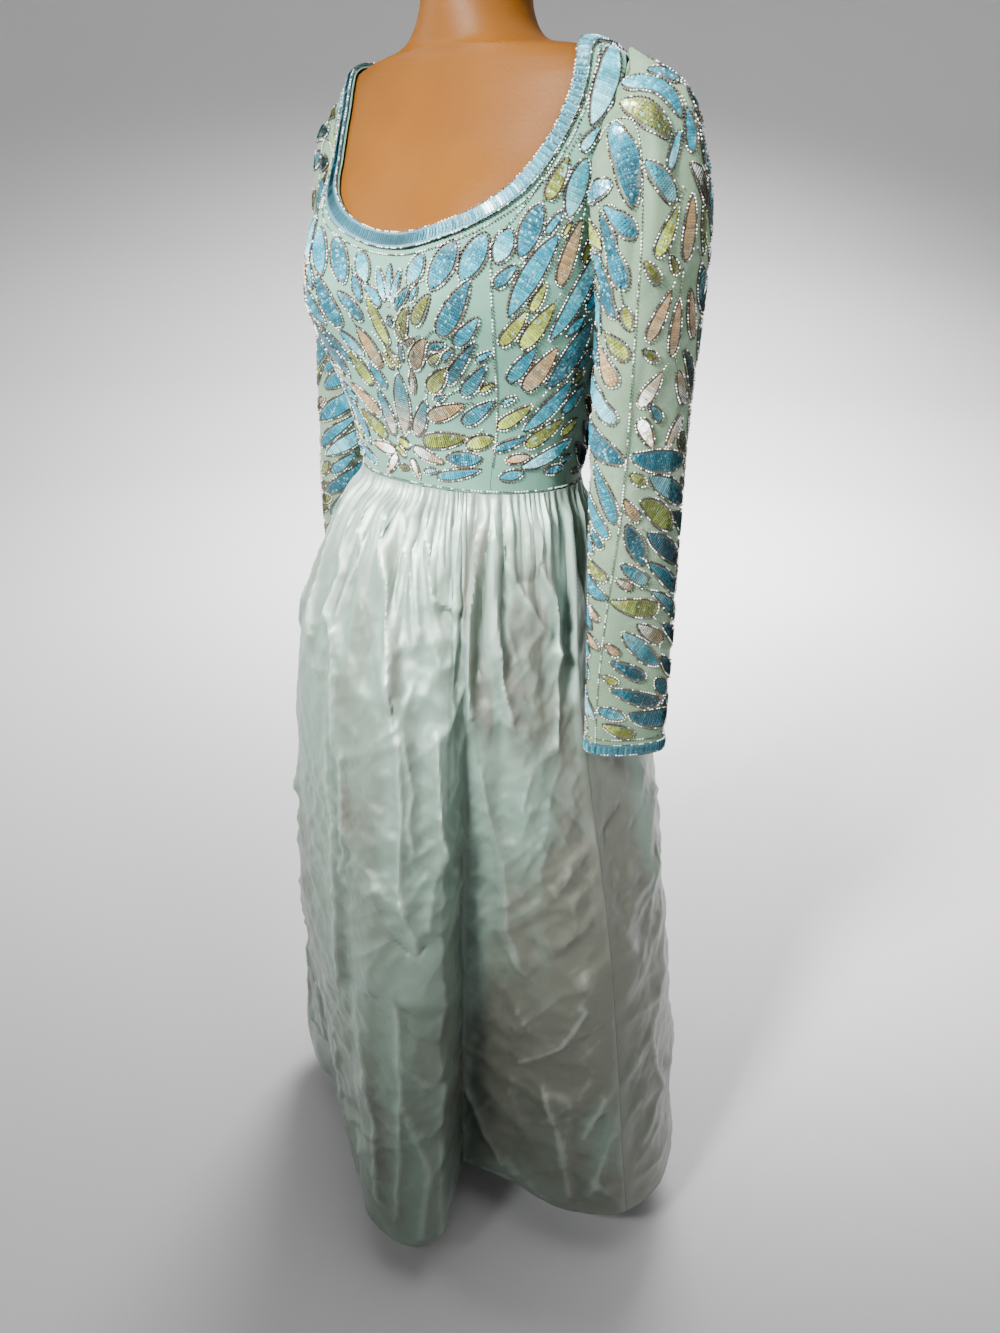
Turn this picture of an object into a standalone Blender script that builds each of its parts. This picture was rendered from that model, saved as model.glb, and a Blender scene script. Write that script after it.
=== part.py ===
"""Long-sleeved evening gown on a limbless dress form.

Metres, +Z up. The gown's front faces -Y and its wearer's left is +X.
The origin is the centre of the stand's hub, on the floor.
Run with: blender --background --python part.py
"""

import math

import bmesh
import bpy
import numpy as np


def table(names, *rows):
    """A dictionary with one array for each named column."""
    return {name: np.array([row[i] for row in rows], float) for i, name in enumerate(names)}


# ---------------------------------------------------------------- driving dimensions
SEAM_GAP = 0.0003  # between pieces that are sewn together or rest on each other
SEAM_INSET = 0.00024  # what each of two sewn edges keeps back from their seam
CLOTH_WALL = 0.0012  # thickness of every cloth wall
TRIM_WALL = 0.0016  # thickness of the beaded edge bands
TRIM_LIFT = 0.0015  # from the cloth's outer face to the underside of a beaded band
FORM_CLEARANCE = 0.0026  # between the cloth's inner face and the form
ARMHOLE_LIFT = 0.00105  # how far the sleeve's first ring stands off the bodice's outer face
SHOULDER_LIFT = 0.0033  # and how much more of it does over the shoulder's bend

WAIST_HEIGHT = 1.039
HEM_HEIGHT = 0.083
ARMPIT_HEIGHT = 1.262
NECK_FRONT_HEIGHT = 1.276  # lowest point of the front neckline
NECK_BACK_HEIGHT = 1.376  # lowest point of the back neckline
NECK_HALF_WIDTH = 0.139  # where the neckline crosses the shoulder seam
NECK_SQUARENESS = 2.3  # 2 is an ellipse, and more is fuller at the corners
SHOULDER_HALF_WIDTH = 0.173  # where the armhole crosses the shoulder seam
ARMHOLE_FRONT_TURN = 21.0  # degrees that the armhole reaches forward of the side
ARMHOLE_BACK_TURN = 24.0
NECK_STARTS = 0.50  # share of a panel's rows that lie below the neckline and the armhole

GATHERS = 44  # round the waist of the skirt
GATHER_DEPTH = 0.0085
BAND_WIDTH = 0.013  # beaded band along the neckline
CUFF_BAND_HEIGHT = 0.014
CAP_PLEATS = 8  # where the head of each sleeve is eased into its armhole
CAP_PLEAT_DEPTH = 0.0024

FORM_BOTTOM = 0.800
FORM_TOP = 1.530
FORM_SHOULDER_HEIGHT = 1.370  # above it the form has every section of the torso's table
POLE_RADIUS = 0.0125
LEG_REACH = 0.205
LEG_WIDTH = 0.034
LEG_HEIGHT = 0.014
LEG_BEARINGS = (20, 110, 200, 290)  # degrees from the front, under the deepest folds
HUB_RADIUS = 0.030
HUB_HEIGHT = 0.062
SOCKET_DEPTH = 0.045
COLLAR_RADIUS = 0.034
COLLAR_HEIGHT = 0.022

# How finely each piece is divided.
BODICE_ROWS = 22
CENTRE_COLUMNS = 6
SIDE_COLUMNS = 7
BACK_COLUMNS = 8
SLEEVE_SIDES = 24
SLEEVE_SHARES = (0, 0.02, 0.045, 0.08, 0.12, 0.17, 0.22, 0.28, 0.35, 0.45, 0.56, 0.70, 0.85, 1)
SKIRT_DROPS = (0, 0.012, 0.038, 0.085, 0.160, 0.270, 0.410, 0.580, 0.780, 1)
FORM_SIDES = 32
ROUND_SIDES = 24

# The princess seam's place between centre front or neckline (0) and side or armhole (1),
# at rows of a panel that run from the waist (0) to the shoulder (1).
PRINCESS = table(
    ("row", "share"),
    (0.00, 0.500),
    (0.25, 0.456),
    (0.50, 0.400),
    (0.60, 0.310),
    (0.75, 0.260),
    (0.88, 0.300),
    (1.00, 0.400),
)

# The torso that the bodice is cut to, as level sections of the cloth's middle surface.
# bust is the share by which the front stands out more, halfway between middle and side.
# twist is how far the gown's centre front is turned to the wearer's left, in degrees.
# Rows below the waist and above the shoulder shape the dress form only.
TORSO = table(
    ("height", "half_width", "front", "back", "front_square", "back_square", "bust", "twist"),
    (0.800, 0.112, 0.076, 0.080, 2.20, 2.20, 0.00, 0),
    (0.860, 0.130, 0.088, 0.094, 2.20, 2.20, 0.00, 0),
    (0.940, 0.133, 0.092, 0.098, 2.20, 2.20, 0.00, 0),
    (1.005, 0.126, 0.095, 0.089, 2.20, 2.20, 0.00, 0),
    (1.039, 0.130, 0.102, 0.092, 2.20, 2.20, 0.00, 0),
    (1.090, 0.139, 0.107, 0.093, 2.30, 2.25, 0.00, 3),
    (1.140, 0.150, 0.120, 0.096, 2.40, 2.30, 0.05, 6),
    (1.180, 0.157, 0.132, 0.100, 2.50, 2.35, 0.12, 8),
    (1.218, 0.162, 0.142, 0.104, 2.45, 2.40, 0.15, 10),
    (1.262, 0.164, 0.136, 0.107, 2.45, 2.40, 0.14, 10),
    (1.310, 0.168, 0.113, 0.105, 2.40, 2.30, 0.08, 10),
    (1.350, 0.176, 0.092, 0.098, 2.20, 2.20, 0.00, 9),
    (1.385, 0.182, 0.074, 0.083, 2.00, 2.00, 0.00, 9),
    (1.405, 0.181, 0.065, 0.075, 1.95, 1.95, 0.00, 8),
    (1.418, 0.174, 0.060, 0.069, 1.90, 1.90, 0.00, 6),
    (1.424, 0.164, 0.058, 0.066, 1.90, 1.90, 0.00, 4),
    (1.429, 0.150, 0.057, 0.064, 1.90, 1.90, 0.00, 2),
    (1.433, 0.132, 0.057, 0.062, 1.90, 1.90, 0.00, 0),
    (1.437, 0.104, 0.056, 0.060, 1.90, 1.90, 0.00, 0),
    (1.442, 0.084, 0.056, 0.059, 1.95, 1.95, 0.00, 0),
    (1.450, 0.070, 0.056, 0.058, 2.00, 2.00, 0.00, 0),
    (1.460, 0.062, 0.056, 0.057, 2.00, 2.00, 0.00, 0),
    (1.476, 0.056, 0.055, 0.056, 2.00, 2.00, 0.00, 0),
    (1.530, 0.055, 0.055, 0.055, 2.00, 2.00, 0.00, 0),
)

# Each row is one fold line that runs down the skirt: its bearing from the front, in
# degrees towards the wearer's left, and its distance from the upright axis at each height.
FOLD_HEIGHTS = {"below_waist": 0.950, "hip": 0.820, "middle": 0.500, "hem": HEM_HEIGHT}
FOLDS = table(
    ("bearing", "below_waist", "hip", "middle", "hem"),
    (-170, 0.148, 0.192, 0.262, 0.300),
    (-152, 0.155, 0.200, 0.248, 0.268),
    (-134, 0.150, 0.186, 0.258, 0.305),
    (-116, 0.148, 0.176, 0.240, 0.270),
    (-98, 0.150, 0.172, 0.242, 0.300),
    (-82, 0.154, 0.180, 0.248, 0.314),
    (-64, 0.164, 0.204, 0.238, 0.250),
    (-44, 0.164, 0.206, 0.224, 0.186),
    (-22, 0.152, 0.190, 0.214, 0.190),
    (-2, 0.150, 0.186, 0.213, 0.207),
    (13, 0.144, 0.188, 0.228, 0.246),
    (26, 0.146, 0.178, 0.224, 0.258),
    (35, 0.140, 0.170, 0.206, 0.238),
    (42, 0.136, 0.152, 0.144, 0.124),
    (54, 0.140, 0.152, 0.150, 0.142),
    (65, 0.143, 0.158, 0.176, 0.170),
    (77, 0.146, 0.160, 0.206, 0.242),
    (90, 0.148, 0.166, 0.234, 0.296),
    (104, 0.148, 0.168, 0.250, 0.316),
    (120, 0.150, 0.186, 0.264, 0.314),
    (138, 0.154, 0.200, 0.260, 0.284),
    (156, 0.150, 0.190, 0.262, 0.304),
    (174, 0.150, 0.196, 0.252, 0.278),
)

# Each sleeve's sections, as if it were on the wearer's left. share runs from 0 at the
# armhole to 1 at the cuff, tilt is a section's angle from level, long and thin are its
# half sizes, and turn swings its long side from fore-and-aft towards the front.
SLEEVE_COLUMNS = ("share", "x", "y", "z", "tilt", "long", "thin", "turn")
SLEEVES = {
    "left": table(
        SLEEVE_COLUMNS,
        (0.00, 0.167, 0.004, 1.342, 88, 0.050, 0.077, 0),
        (0.09, 0.194, 0.006, 1.324, 68, 0.052, 0.077, 0),
        (0.19, 0.207, 0.010, 1.284, 49, 0.055, 0.060, 2),
        (0.30, 0.208, 0.014, 1.217, 14, 0.055, 0.038, 6),
        (0.45, 0.207, 0.016, 1.120, 0, 0.053, 0.033, 12),
        (0.62, 0.210, 0.018, 1.006, 0, 0.049, 0.029, 20),
        (0.80, 0.214, 0.020, 0.886, 0, 0.046, 0.025, 30),
        (1.00, 0.218, 0.020, 0.757, 0, 0.043, 0.018, 40),
    ),
    "right": table(
        SLEEVE_COLUMNS,
        (0.00, 0.167, 0.004, 1.342, 88, 0.050, 0.077, 0),
        (0.09, 0.189, 0.014, 1.322, 71, 0.046, 0.074, 0),
        (0.19, 0.204, 0.020, 1.282, 50, 0.048, 0.056, 0),
        (0.30, 0.211, 0.022, 1.214, 13, 0.049, 0.038, 2),
        (0.45, 0.215, 0.018, 1.120, 0, 0.049, 0.034, 8),
        (0.62, 0.221, 0.014, 1.006, 0, 0.048, 0.030, 14),
        (0.80, 0.225, 0.012, 0.886, 0, 0.046, 0.025, 22),
        (1.00, 0.229, 0.010, 0.757, 0, 0.043, 0.018, 32),
    ),
}


# ---------------------------------------------------------------- curves through tables
def through(x, known_x, known_y):
    """A smooth curve through the known points that never overshoots them."""
    step = np.diff(known_x)
    rise = np.diff(known_y) / step
    before, after = rise[:-1], rise[1:]
    together = before * after > 0
    mean = 2 * before * after / np.where(together, before + after, 1.0)
    slope = np.concatenate([rise[:1], np.where(together, mean, 0.0), rise[-1:]])
    x = np.clip(x, known_x[0], known_x[-1])
    i = np.clip(np.searchsorted(known_x, x, side="right") - 1, 0, len(step) - 1)
    w = (x - known_x[i]) / step[i]
    start = known_y[i] * (1 + 2 * w) + slope[i] * step[i] * w
    end = known_y[i + 1] * (3 - 2 * w) + slope[i + 1] * step[i] * (w - 1)
    return start * (1 - w) ** 2 + end * w**2


def ease(x):
    """0 below 0, 1 above 1, and a smooth step between."""
    x = np.clip(x, 0.0, 1.0)
    return x * x * (3 - 2 * x)


def unit(vectors):
    return vectors / np.linalg.norm(vectors, axis=-1, keepdims=True)


def mirrored(side):
    """Multiplies points on the wearer's left (1) or takes them to the right (-1)."""
    return np.array([side, 1.0, 1.0])


# ---------------------------------------------------------------- torso
def torso(turn, height):
    """The cloth's middle surface. turn is in radians: a quarter turn back from 0 is the
    centre front, 0 is the wearer's left side and shoulder line, then the centre back."""
    turn, height = np.broadcast_arrays(np.asarray(turn, float), np.asarray(height, float))
    read = {name: through(height, TORSO["height"], TORSO[name]) for name in TORSO}
    c, s = np.cos(turn), np.sin(turn)
    deep = np.where(s < 0, read["front"], read["back"])
    square = np.where(s < 0, read["front_square"], read["back_square"])
    k = (np.abs(c) ** square + np.abs(s) ** square) ** (-1 / square)
    swell = np.sin(math.pi * np.abs(c * k) ** 1.16) ** 2 * np.where(s < 0, read["bust"], 0)
    return np.stack([read["half_width"] * c * k, deep * s * k * (1 + swell), height], -1)


def torso_normal(turn, height):
    """Unit normals of the torso, pointing out."""
    d = 1e-4
    around = torso(turn + d, height) - torso(turn - d, height)
    up = torso(turn, height + d) - torso(turn, height - d)
    return unit(np.cross(around, up))


def worn(turn, height, side):
    """Points and normals of one side of the gown (1 is the wearer's left, -1 the right),
    with its front turned as it sits on the form."""
    turn, height = np.broadcast_arrays(np.asarray(turn, float), np.asarray(height, float))
    twist = np.radians(through(height, TORSO["height"], TORSO["twist"]))
    turn = turn - side * twist * np.minimum(np.sin(turn), 0)
    return torso(turn, height) * mirrored(side), torso_normal(turn, height) * mirrored(side)


def shoulder_height(x):
    """Height of the shoulder line at a distance x from the middle."""
    z = np.linspace(1.388, 1.480, 400)
    return float(np.interp(-x, -torso(0.0, z)[:, 0], z))


def turn_at(x, height, face):
    """The turn of the point of the front (-1) or the back (1) at a distance x from the middle."""
    square = through(height, TORSO["height"], TORSO["front_square" if face < 0 else "back_square"])
    share = np.clip(x / through(height, TORSO["height"], TORSO["half_width"]), 0.0, 1.0)
    return face * np.arctan2((1 - share**square) ** (1 / square), share)


# ---------------------------------------------------------------- bodice edges and panels
def neckline(w, face, outside=0.0):
    """(turn, height) along the neckline, from the centre (w 0) to the shoulder seam (w 1).
    outside gives the line that runs that far outside it."""
    half_width = NECK_HALF_WIDTH + outside
    top = shoulder_height(half_width)
    low = (NECK_FRONT_HEIGHT if face < 0 else NECK_BACK_HEIGHT) - outside
    angle = np.asarray(w, float) * math.pi / 2
    x = half_width * np.sin(angle) ** (2 / NECK_SQUARENESS)
    height = top - (top - low) * np.abs(np.cos(angle)) ** (2 / NECK_SQUARENESS)
    return turn_at(x, height, face), height


def armhole(w, face):
    """(turn, height) along the armhole, from the armpit (w 0) to the shoulder seam (w 1)."""
    reach = math.radians(ARMHOLE_FRONT_TURN if face < 0 else ARMHOLE_BACK_TURN)
    top = shoulder_height(SHOULDER_HALF_WIDTH)
    rise = 1 - np.cos(np.asarray(w, float) * math.pi / 2)
    height = ARMPIT_HEIGHT + (top - ARMPIT_HEIGHT) * rise
    return face * reach * np.abs(np.sin(math.pi * rise)) ** 0.7, height


def half_panel(u, v, face):
    """(turn, height) on one half of the bodice's front (-1) or back (1). u runs from the
    centre and the neckline (0) to the side seam and the armhole (1), v from waist to shoulder."""
    u, v = np.broadcast_arrays(np.asarray(u, float), np.asarray(v, float))
    low = NECK_FRONT_HEIGHT if face < 0 else NECK_BACK_HEIGHT
    below = np.clip(v / NECK_STARTS, 0, 1)
    above = np.clip((v - NECK_STARTS) / (1 - NECK_STARTS), 0, 1)
    under = v < NECK_STARTS
    neck_turn, neck_height = neckline(above, face)
    arm_turn, arm_height = armhole(above, face)
    inner_turn = np.where(under, face * math.pi / 2, neck_turn)
    inner_height = np.where(under, WAIST_HEIGHT + (low - WAIST_HEIGHT) * below, neck_height)
    outer_turn = np.where(under, 0.0, arm_turn)
    side_height = WAIST_HEIGHT + (ARMPIT_HEIGHT - WAIST_HEIGHT) * below
    outer_height = np.where(under, side_height, arm_height)
    turn = inner_turn + (outer_turn - inner_turn) * u
    return turn, inner_height + (outer_height - inner_height) * u


def towards_shoulder(count, crowding=2.2):
    """Places from 0 to 1 that crowd together at 1, where the shoulder bends."""
    return 1 - np.linspace(1, 0, count + 1) ** crowding


def bodice_rows():
    """Row places from waist to shoulder, closer together towards the shoulder's bend."""
    half = BODICE_ROWS // 2
    low = np.linspace(0, NECK_STARTS, half + 1)
    high = NECK_STARTS + (1 - NECK_STARTS) * towards_shoulder(BODICE_ROWS - half)[1:]
    return np.concatenate([low, high])


def centre_line(v):
    return 0.0 * v


def princess_line(v):
    return through(v, PRINCESS["row"], PRINCESS["share"])


def side_line(v):
    return 0.0 * v + 1.0


def bodice_grid(face, side, start, end, columns):
    """Points and normals of a strip of one half panel, between two lines that give u for
    each row. Every seam but the centre front's fold keeps half of its gap clear."""
    v = bodice_rows()[:, None]
    whole = torso(*half_panel(np.linspace(0, 1, 30)[None, :], v, face))
    width = np.linalg.norm(np.diff(whole, axis=1), axis=-1).sum(axis=1)[:, None]
    inset = SEAM_INSET / width
    folded = face < 0 and start is centre_line
    first = start(v) + (0 if folded else inset)
    last = end(v) - inset
    u = first + (last - first) * np.linspace(0, 1, columns + 1)[None, :]
    points, normals = worn(*half_panel(u, v, face), side)
    points[-1, :, 1] += face * SEAM_INSET
    return points, normals


def sheet_faces(rows, columns, wrap=False):
    """Quads of a grid of points, as rows of four indices. wrap closes each row into a ring."""
    across = columns if wrap else columns - 1
    i, j = np.meshgrid(np.arange(rows - 1), np.arange(across), indexing="ij")
    k = (j + 1) % columns
    corners = [i * columns + j, i * columns + k, (i + 1) * columns + k, (i + 1) * columns + j]
    return np.stack(corners, -1).reshape(-1, 4)


def sheet_normals(points, wrap=False):
    """Normals of a grid from its neighbours."""
    if wrap:
        around = np.roll(points, -1, axis=1) - np.roll(points, 1, axis=1)
    else:
        around = np.gradient(points, axis=1)
    return unit(np.cross(around, np.gradient(points, axis=0)))


# ---------------------------------------------------------------- making solids
def clear_scene():
    for thing in list(bpy.data.objects):
        bpy.data.objects.remove(thing, do_unlink=True)


def material(name, colour, roughness, metallic=0.0):
    made = bpy.data.materials.new(name)
    made.use_nodes = True
    shader = made.node_tree.nodes["Principled BSDF"]
    shader.inputs["Base Color"].default_value = (*colour, 1.0)
    shader.inputs["Roughness"].default_value = roughness
    shader.inputs["Metallic"].default_value = metallic
    return made


def new_object(name, bm, finish):
    """Turns a closed bmesh into an object with outward faces, shaded smooth."""
    bmesh.ops.recalc_face_normals(bm, faces=bm.faces)
    mesh = bpy.data.meshes.new(name)
    bm.to_mesh(mesh)
    bm.free()
    mesh.shade_smooth()
    mesh.set_sharp_from_angle(angle=math.radians(50))
    mesh.materials.append(finish)
    made = bpy.data.objects.new(name, mesh)
    bpy.context.scene.collection.objects.link(made)
    return made


def wall(name, points, normals, faces, finish, thickness=CLOTH_WALL, lift=0.0):
    """A wall of cloth: a sheet moved out and in along its normals by half the thickness,
    with its open edges closed. lift moves the whole wall out."""
    points, normals = points.reshape(-1, 3), normals.reshape(-1, 3)
    used = np.unique(faces)
    bm = bmesh.new()
    outer = {i: bm.verts.new(points[i] + normals[i] * (lift + thickness / 2)) for i in used}
    inner = {i: bm.verts.new(points[i] + normals[i] * (lift - thickness / 2)) for i in used}
    edges = {}
    for face in faces:
        bm.faces.new([outer[i] for i in face])
        bm.faces.new([inner[i] for i in face[::-1]])
        for a, b in zip(face, np.roll(face, -1)):
            edges.setdefault((min(a, b), max(a, b)), []).append((a, b))
    for uses in edges.values():
        if len(uses) == 1:
            a, b = uses[0]
            bm.faces.new([outer[b], outer[a], inner[a], inner[b]])
    return new_object(name, bm, finish)


def turned(name, profile, finish):
    """A closed profile of (radius, height) corners spun about the upright axis."""
    bm = bmesh.new()
    rings = []
    for radius, height in profile:
        count = ROUND_SIDES if radius > 0 else 1
        angles = [2 * math.pi * k / ROUND_SIDES for k in range(count)]
        ring = [(radius * math.cos(a), radius * math.sin(a), height) for a in angles]
        rings.append([bm.verts.new(p) for p in ring])
    closed = profile[0][0] > 0
    for lower, upper in zip(rings, rings[1:] + (rings[:1] if closed else [])):
        for k in range(ROUND_SIDES):
            m = (k + 1) % ROUND_SIDES
            corners = [lower[k % len(lower)], lower[m % len(lower)]]
            corners += [upper[m % len(upper)], upper[k % len(upper)]]
            bm.faces.new(list(dict.fromkeys(corners)))
    return new_object(name, bm, finish)


# ---------------------------------------------------------------- the bodice's pieces
def make_centre_front(finish):
    """Two half strips joined down the centre front, and open above it at the neckline."""
    edges = (centre_line, princess_line)
    halves = [bodice_grid(-1, side, *edges, CENTRE_COLUMNS) for side in (1, -1)]
    rows, columns = halves[0][0].shape[:2]
    size = rows * columns
    points = np.concatenate([half[0].reshape(-1, 3) for half in halves])
    normals = np.concatenate([half[1].reshape(-1, 3) for half in halves])
    faces = sheet_faces(rows, columns)
    both = np.concatenate([faces, faces[:, ::-1] + size])
    centre = np.flatnonzero(bodice_rows() <= NECK_STARTS + 1e-9) * columns
    index = np.arange(2 * size)
    index[centre + size] = centre
    wall("bodice_centre_front", points, normals, index[both], finish)


def make_bodice_panel(name, face, side, edges, columns, finish):
    points, normals = bodice_grid(face, side, *edges, columns)
    wall(name, points, normals, sheet_faces(*points.shape[:2]), finish)


def make_bodice(finish):
    make_centre_front(finish)
    for name, side in (("left", 1), ("right", -1)):
        edges = (princess_line, side_line)
        make_bodice_panel(f"bodice_side_front_{name}", -1, side, edges, SIDE_COLUMNS, finish)
        edges = (centre_line, side_line)
        make_bodice_panel(f"bodice_back_{name}", 1, side, edges, BACK_COLUMNS, finish)


def make_neck_band(name, side, finish):
    """One half of the beaded band that lies on the bodice along the neckline, from the
    centre front over the shoulder to the centre back."""
    front, back = towards_shoulder(22, 1.9), towards_shoulder(14, 1.9)[-2::-1]
    lines = []
    for outside in (0.04 * BAND_WIDTH, 0.5 * BAND_WIDTH, BAND_WIDTH):
        halves = (neckline(front, -1, outside), neckline(back, 1, outside))
        lines.append([np.concatenate(pair) for pair in zip(*halves)])
    both = [worn(turn, height, side) for turn, height in lines]
    points, normals = (np.stack(part) for part in zip(*both))
    for edge, inside in ((0, 1), (-1, -2)):
        points[:, edge] += unit(points[:, inside] - points[:, edge]) * SEAM_INSET
    lift = CLOTH_WALL / 2 + TRIM_LIFT + TRIM_WALL / 2
    wall(name, points, normals, sheet_faces(*points.shape[:2]), finish, TRIM_WALL, lift)


# ---------------------------------------------------------------- sleeves
def armhole_loop(around, side):
    """The armhole as a closed loop: 0 at the shoulder, a quarter turn at the front and half
    a turn at the armpit. It stands just clear of the bodice."""
    around = np.asarray(around, float) % (2 * math.pi)
    front = around <= math.pi
    w = np.where(front, 1 - around / math.pi, around / math.pi - 1)
    (turn_f, height_f), (turn_b, height_b) = armhole(w, -1), armhole(w, 1)
    turn, height = np.where(front, turn_f, turn_b), np.where(front, height_f, height_b)
    lift = CLOTH_WALL / 2 + ARMHOLE_LIFT + SHOULDER_LIFT * ease(2.2 * w - 0.9)
    points, normals = worn(turn, height, side)
    return points + normals * lift[..., None]


def sleeve(around, share, sections, side):
    """A sleeve's middle surface. around is 0 at the top and outer side and a quarter turn
    at the front. Its sections are a little fuller than ellipses."""
    around, share = np.broadcast_arrays(np.asarray(around, float), np.asarray(share, float))
    read = {name: through(share, sections["share"], sections[name]) for name in sections}
    tilt, turn = np.radians(read["tilt"]), np.radians(read["turn"])
    level = np.zeros_like(turn)
    outward = np.stack(
        [np.cos(tilt) * np.cos(turn), -np.cos(tilt) * np.sin(turn), np.sin(tilt)], -1
    )
    forward = np.stack([-np.sin(turn), -np.cos(turn), level], -1)
    c, s = np.cos(around), np.sin(around)
    spread = outward * (read["thin"] * np.sign(c) * np.abs(c) ** 0.86)[..., None]
    spread = spread + forward * (read["long"] * np.sign(s) * np.abs(s) ** 0.92)[..., None]
    pleats = np.cos(2 * CAP_PLEATS * around) * np.sqrt(np.clip(c, 0, 1)) * CAP_PLEAT_DEPTH
    pleats = pleats * ease(share / 0.02) * (1 - ease((share - 0.02) / 0.14))
    blend = ease(share / 0.10)[..., None]
    middle = np.stack([read["x"], read["y"], read["z"]], -1)
    ring = middle + spread + unit(spread) * pleats[..., None]
    return armhole_loop(around, side) * (1 - blend) + ring * mirrored(side) * blend


def make_sleeve(name, side, finish, trim):
    """A sleeve, and the beaded band that lies on its last centimetre."""
    sections = SLEEVES[name]
    around = 2 * math.pi * np.arange(SLEEVE_SIDES) / SLEEVE_SIDES
    forearm = (sections["z"][-2] - sections["z"][-1]) / (1 - sections["share"][-2])
    band_shares = (1 - CUFF_BAND_HEIGHT / forearm, 1)
    band_lift = CLOTH_WALL / 2 + 2 * SEAM_GAP + TRIM_WALL / 2
    for label, shares, skin, thickness, lift in (
        (f"sleeve_{name}", SLEEVE_SHARES, finish, CLOTH_WALL, 0),
        (f"cuff_band_{name}", band_shares, trim, TRIM_WALL, band_lift),
    ):
        points = sleeve(around[None, :], np.array(shares)[:, None], sections, side)
        normals = -side * sheet_normals(points, wrap=True)
        wall(label, points, normals, sheet_faces(*points.shape[:2], wrap=True), skin, thickness, lift)


# ---------------------------------------------------------------- skirt
def fold_radius(bearing, height):
    """Distance of the plain skirt from the upright axis, without its gathers. bearing is
    in radians from the front."""
    knots = np.radians(FOLDS["bearing"])
    turn = np.linspace(-math.pi, math.pi, 721)
    ring = torso(turn, WAIST_HEIGHT)
    ring_bearing = np.arctan2(ring[:, 0], -ring[:, 1])
    order = np.argsort(ring_bearing)
    length = np.hypot(ring[:, 0], ring[:, 1])[order]
    waist = np.interp(bearing, ring_bearing[order], length)
    heights = np.array([*FOLD_HEIGHTS.values()][::-1] + [WAIST_HEIGHT])
    at_waist = np.interp(knots, ring_bearing[order], length)
    known = np.stack([FOLDS[name] for name in FOLD_HEIGHTS][::-1] + [at_waist])
    at_height = [through(height, heights, known[:, k]) for k in range(len(knots))]
    three_turns = np.concatenate([knots - 2 * math.pi, knots, knots + 2 * math.pi])
    folds = through(bearing, three_turns, np.tile(at_height, 3))
    top = ease((height - WAIST_HEIGHT + 0.030) / 0.030)
    return folds + (waist - folds) * top


def column_bearings(start, end, count):
    """Bearings of the columns of a panel, closer together where the hem folds sharply."""
    dense = np.radians(np.linspace(start, end, 1201))
    hem = fold_radius(dense, HEM_HEIGHT)
    outline = np.stack([hem * np.sin(dense), -hem * np.cos(dense)], -1)
    steps = np.linalg.norm(np.diff(outline, axis=0), axis=1)
    steps = 0.45 * steps / steps.mean() + 0.55
    run = np.concatenate([[0], np.cumsum(steps)])
    return np.interp(np.linspace(0, run[-1], count + 1), run, dense)


def gather_swell(column, height):
    """How far the gathers stand out: four columns to a gather, each gather with its own
    depth and its own length below the waist."""
    gather = np.round(column / 4)
    wave = (1 + np.cos(2 * math.pi * column / 4)) / 2
    depth = GATHER_DEPTH * (0.72 + 0.28 * np.sin(2.3 * gather + 0.8 * np.sin(gather)))
    length = 0.17 + 0.09 * np.sin(1.7 * gather + 0.6) + 0.04 * np.sin(4.1 * gather)
    drop = WAIST_HEIGHT - height
    rise = 0.20 + 0.80 * ease(drop / 0.035)
    return depth * wave * rise * np.exp(-((drop / length) ** 2))


def skirt_grid(bearings, first_column):
    """A panel of the skirt's middle surface, as rings from the waist seam to the hem."""
    top = WAIST_HEIGHT - 2 * SEAM_GAP
    column = first_column + np.arange(len(bearings))
    rings = []
    for drop in SKIRT_DROPS:
        height = top - (top - HEM_HEIGHT) * drop
        radius = fold_radius(bearings, height) + gather_swell(column, height)
        level = np.full(len(bearings), height)
        rings.append(np.stack([radius * np.sin(bearings), -radius * np.cos(bearings), level], -1))
    return np.stack(rings)


def make_skirt(finish):
    """Three panels: the front, from side seam to side seam, and the two backs."""
    panels = (
        ("skirt_back_right", -180, -90, GATHERS),
        ("skirt_front", -90, 90, 2 * GATHERS),
        ("skirt_back_left", 90, 180, GATHERS),
    )
    bearings, starts = [], [0]
    for name, start, end, count in panels:
        bearings.append(column_bearings(start, end, count))
        starts.append(starts[-1] + count)
    everything = np.concatenate([b[:-1] for b in bearings])
    whole = skirt_grid(everything, 0)
    normals = sheet_normals(whole, wrap=True)
    for (name, start, end, count), first in zip(panels, starts):
        picked = np.arange(first, first + count + 1) % len(everything)
        points, out = whole[:, picked].copy(), normals[:, picked]
        for edge, inside in ((0, 1), (-1, -2)):
            points[:, edge] += unit(points[:, inside] - points[:, edge]) * SEAM_INSET
        wall(name, points, out, sheet_faces(*points.shape[:2]), finish)


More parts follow.
